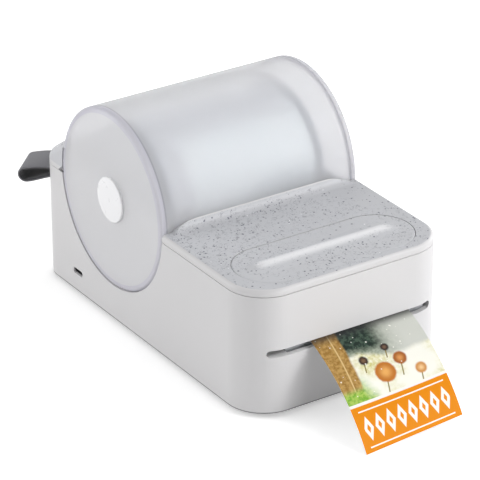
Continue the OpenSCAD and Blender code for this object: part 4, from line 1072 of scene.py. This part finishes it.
class PRINTER_OT_inner_works(bpy.types.Operator):
    """Finishes of the cassette, rollers, gears and electronics"""

    bl_idname = "printer.inner_works"
    bl_label = "Inner Works"

    def execute(self, context):
        for nodes, look in (
            ("cassette_body", milky("cassette plastic")),
            ("cassette_ends", moulded("cassette end plastic", srgb(160, 167, 178), 0.5)),
            ("roll_cradle", moulded("cradle plastic", srgb(218, 220, 225), 0.5)),
            ("engine_frame", metal("chassis sheet", srgb(158, 160, 164), 0.42, (300, 20, 20))),
            ("platen_roller pinch_roller", rubber("roller rubber", srgb(34, 34, 36), 0.6, 0.03)),
            (
                "platen_shaft pinch_shaft motor_shaft hinge_pins idler_post base_screws engine_screws "
                "board_screws usb_socket",
                metal("shaft steel", srgb(176, 176, 178), 0.3),
            ),
            ("platen_bushes", metal("sintered bronze", srgb(172, 128, 74), 0.5, (60, 60, 60), 1.2)),
            ("platen_gear idler_gear motor_pinion", moulded("gear nylon", srgb(232, 226, 206), 0.4)),
            ("drive_motor", metal("motor can", srgb(120, 122, 126), 0.38, (20, 300, 300))),
            ("print_head", moulded("head glaze", srgb(120, 92, 70), 0.25, 0.01)),
            ("heat_sink", metal("sink aluminium", srgb(206, 208, 210), 0.36, (20, 400, 400))),
            ("head_springs", metal("spring wire", srgb(150, 150, 154), 0.3, (40, 40, 1600))),
            ("paper_guide", moulded("guide plastic", srgb(190, 190, 190), 0.45)),
            ("media_sensor", moulded("sensor plastic", srgb(34, 34, 36), 0.4)),
            ("head_cable", ribbon("flat cable")),
            ("main_board button_board usb_board", circuit("board lacquer")),
            ("battery_pack", wrapped_film("battery film")),
            ("button_domes", rubber("dome rubber", srgb(84, 84, 88), 0.6, 0.02)),
        ):
            finish(nodes, look)
        return {"FINISHED"}


class PRINTER_OT_stage(bpy.types.Operator):
    """Floor, camera and soft light"""

    bl_idname = "printer.stage"
    bl_label = "Stage"

    def execute(self, context):
        s = context.scene.printer_stage
        scene = context.scene
        scene.view_settings.view_transform = "Standard"
        a, e = math.radians(s.azimuth), math.radians(s.elevation)
        back = Vector((math.sin(a) * math.cos(e), -math.cos(a) * math.cos(e), math.sin(e)))
        data = bpy.data.cameras.new("photo camera")
        data.lens, data.sensor_width = s.lens, 36
        data.clip_start, data.clip_end = 0.05, 50
        # the camera looks past the deck's front left corner, and leans by a hair
        target, distance = Vector((-0.043831, -0.066677, 0.077435)), 1.3
        roll = Quaternion((0, 0, 1), math.radians(-0.264))
        turn = (-back).to_track_quat("-Z", "Y") @ roll
        scene.camera = self.hang(scene, "photo_camera", data, target + back * distance, turn)
        self.floor()
        self.sky(scene, s.sky)
        for name, spot, aim, size, power in (
            ("left softbox", (-0.92, 0.62, 0.45), (0, 0, 0.04), 0.7, 6.1),
            ("right softbox", (1.00, 0.06, 0.40), (0, 0, 0.06), 0.7, 3.4),
            ("front softbox", (0.76, -0.86, 0.86), (0, -0.02, 0.03), 0.6, 7.4),
            ("low fill", (0.20, -1.15, 0.16), (0, 0, 0.03), 0.4, 3.6),
            ("top softbox", (0.10, 0.45, 1.15), (0, 0, 0.05), 0.9, 1.7),
        ):
            lamp = bpy.data.lights.new(name, "AREA")
            lamp.shape, lamp.size, lamp.energy = "SQUARE", size, power
            turn = (Vector(aim) - Vector(spot)).to_track_quat("-Z", "Y")
            self.hang(scene, name.replace(" ", "_"), lamp, spot, turn)
        return {"FINISHED"}

    def hang(self, scene, name, data, spot, turn):
        """Puts a camera or lamp in its place."""
        holder = bpy.data.objects.new(name, data)
        scene.collection.objects.link(holder)
        holder.location = spot
        holder.rotation_mode = "QUATERNION"
        holder.rotation_quaternion = turn
        return holder

    def floor(self):
        """Pale paper that takes the printer's shadow. Where it shows it glows a
        little, and away from the printer it is plain white up to the horizon."""
        r = 6000.0
        grid = np.array([[[-r, -r, 0], [-r, r, 0]], [[r, -r, 0], [r, r, 0]]], float)
        floor = skin("floor", grid, smooth=False)
        floor.data.flip_normals()
        shade = Shade("floor paper", (0.9, 0.9, 0.9, 1), 0.9)
        bare = Value(shade, shade.surface.outputs[0])
        glow, white = (
            shade.node("ShaderNodeEmission", {}, {"Color": (1, 1, 1, 1), "Strength": strength})
            for strength in (0.41, 1.0)
        )
        x, y, _ = shade.axes()
        far = (x * x + y * y).power(0.5).above(0.7, 0.3)
        shown = shade.mixed(far, shade.node("ShaderNodeAddShader", {}, {0: bare, 1: glow}), white)
        output = shade.tree.nodes["Material Output"]
        shade.put(output.inputs["Surface"], shade.mixed(shade.showing(), bare, shown))
        floor.data.materials.append(shade.material)

    def sky(self, scene, strength):
        """Even light all round, and a pale room where the world itself shows."""
        world = bpy.data.worlds.new("studio room")
        world.use_nodes = True
        scene.world = world
        room = Nodes(world.node_tree)
        ground = world.node_tree.nodes["Background"]
        ground.inputs["Color"].default_value = (1, 1, 1, 1)
        ground.inputs["Strength"].default_value = strength
        pale = room.node("ShaderNodeBackground", {}, {"Strength": 1.0})
        output = world.node_tree.nodes["World Output"]
        room.put(output.inputs["Surface"], room.mixed(room.showing(), Value(room, ground.outputs[0]), pale))


class PRINTER_PT_dressing(bpy.types.Panel):
    """The printer's pieces in the 3D view's sidebar"""

    bl_label = "Strip Printer"
    bl_idname = "PRINTER_PT_dressing"
    bl_space_type = "VIEW_3D"
    bl_region_type = "UI"
    bl_category = "Printer"

    def draw(self, context):
        for group in GROUPS:
            box = self.layout.box()
            settings = getattr(context.scene, group)
            for key in settings.bl_rna.properties.keys():
                if key not in ("rna_type", "name"):
                    box.prop(settings, key)
        for step in STEPS:
            self.layout.operator(step.bl_idname)


GROUPS = {
    "printer_shell": StripPrinterShell,
    "printer_cover": StripPrinterCover,
    "printer_paper": StripPrinterPaper,
    "printer_stage": StripPrinterStage,
}
STEPS = (
    PRINTER_OT_stage,
    PRINTER_OT_housing,
    PRINTER_OT_deck_cap,
    PRINTER_OT_feed_button,
    PRINTER_OT_drum_cover,
    PRINTER_OT_rear_hood,
    PRINTER_OT_badge,
    PRINTER_OT_strap,
    PRINTER_OT_paper,
    PRINTER_OT_inner_works,
)


def register():
    for cls in (*GROUPS.values(), *STEPS, PRINTER_PT_dressing):
        bpy.utils.register_class(cls)
    for name, cls in GROUPS.items():
        setattr(bpy.types.Scene, name, bpy.props.PointerProperty(type=cls))


def unregister():
    for name in GROUPS:
        delattr(bpy.types.Scene, name)
    for cls in (PRINTER_PT_dressing, *reversed(STEPS), *reversed(GROUPS.values())):
        bpy.utils.unregister_class(cls)


def main():
    """Builds every piece in order."""
    register()
    for step in STEPS:
        group, name = step.bl_idname.split(".")
        getattr(getattr(bpy.ops, group), name)()


if __name__ == "__main__":
    main()
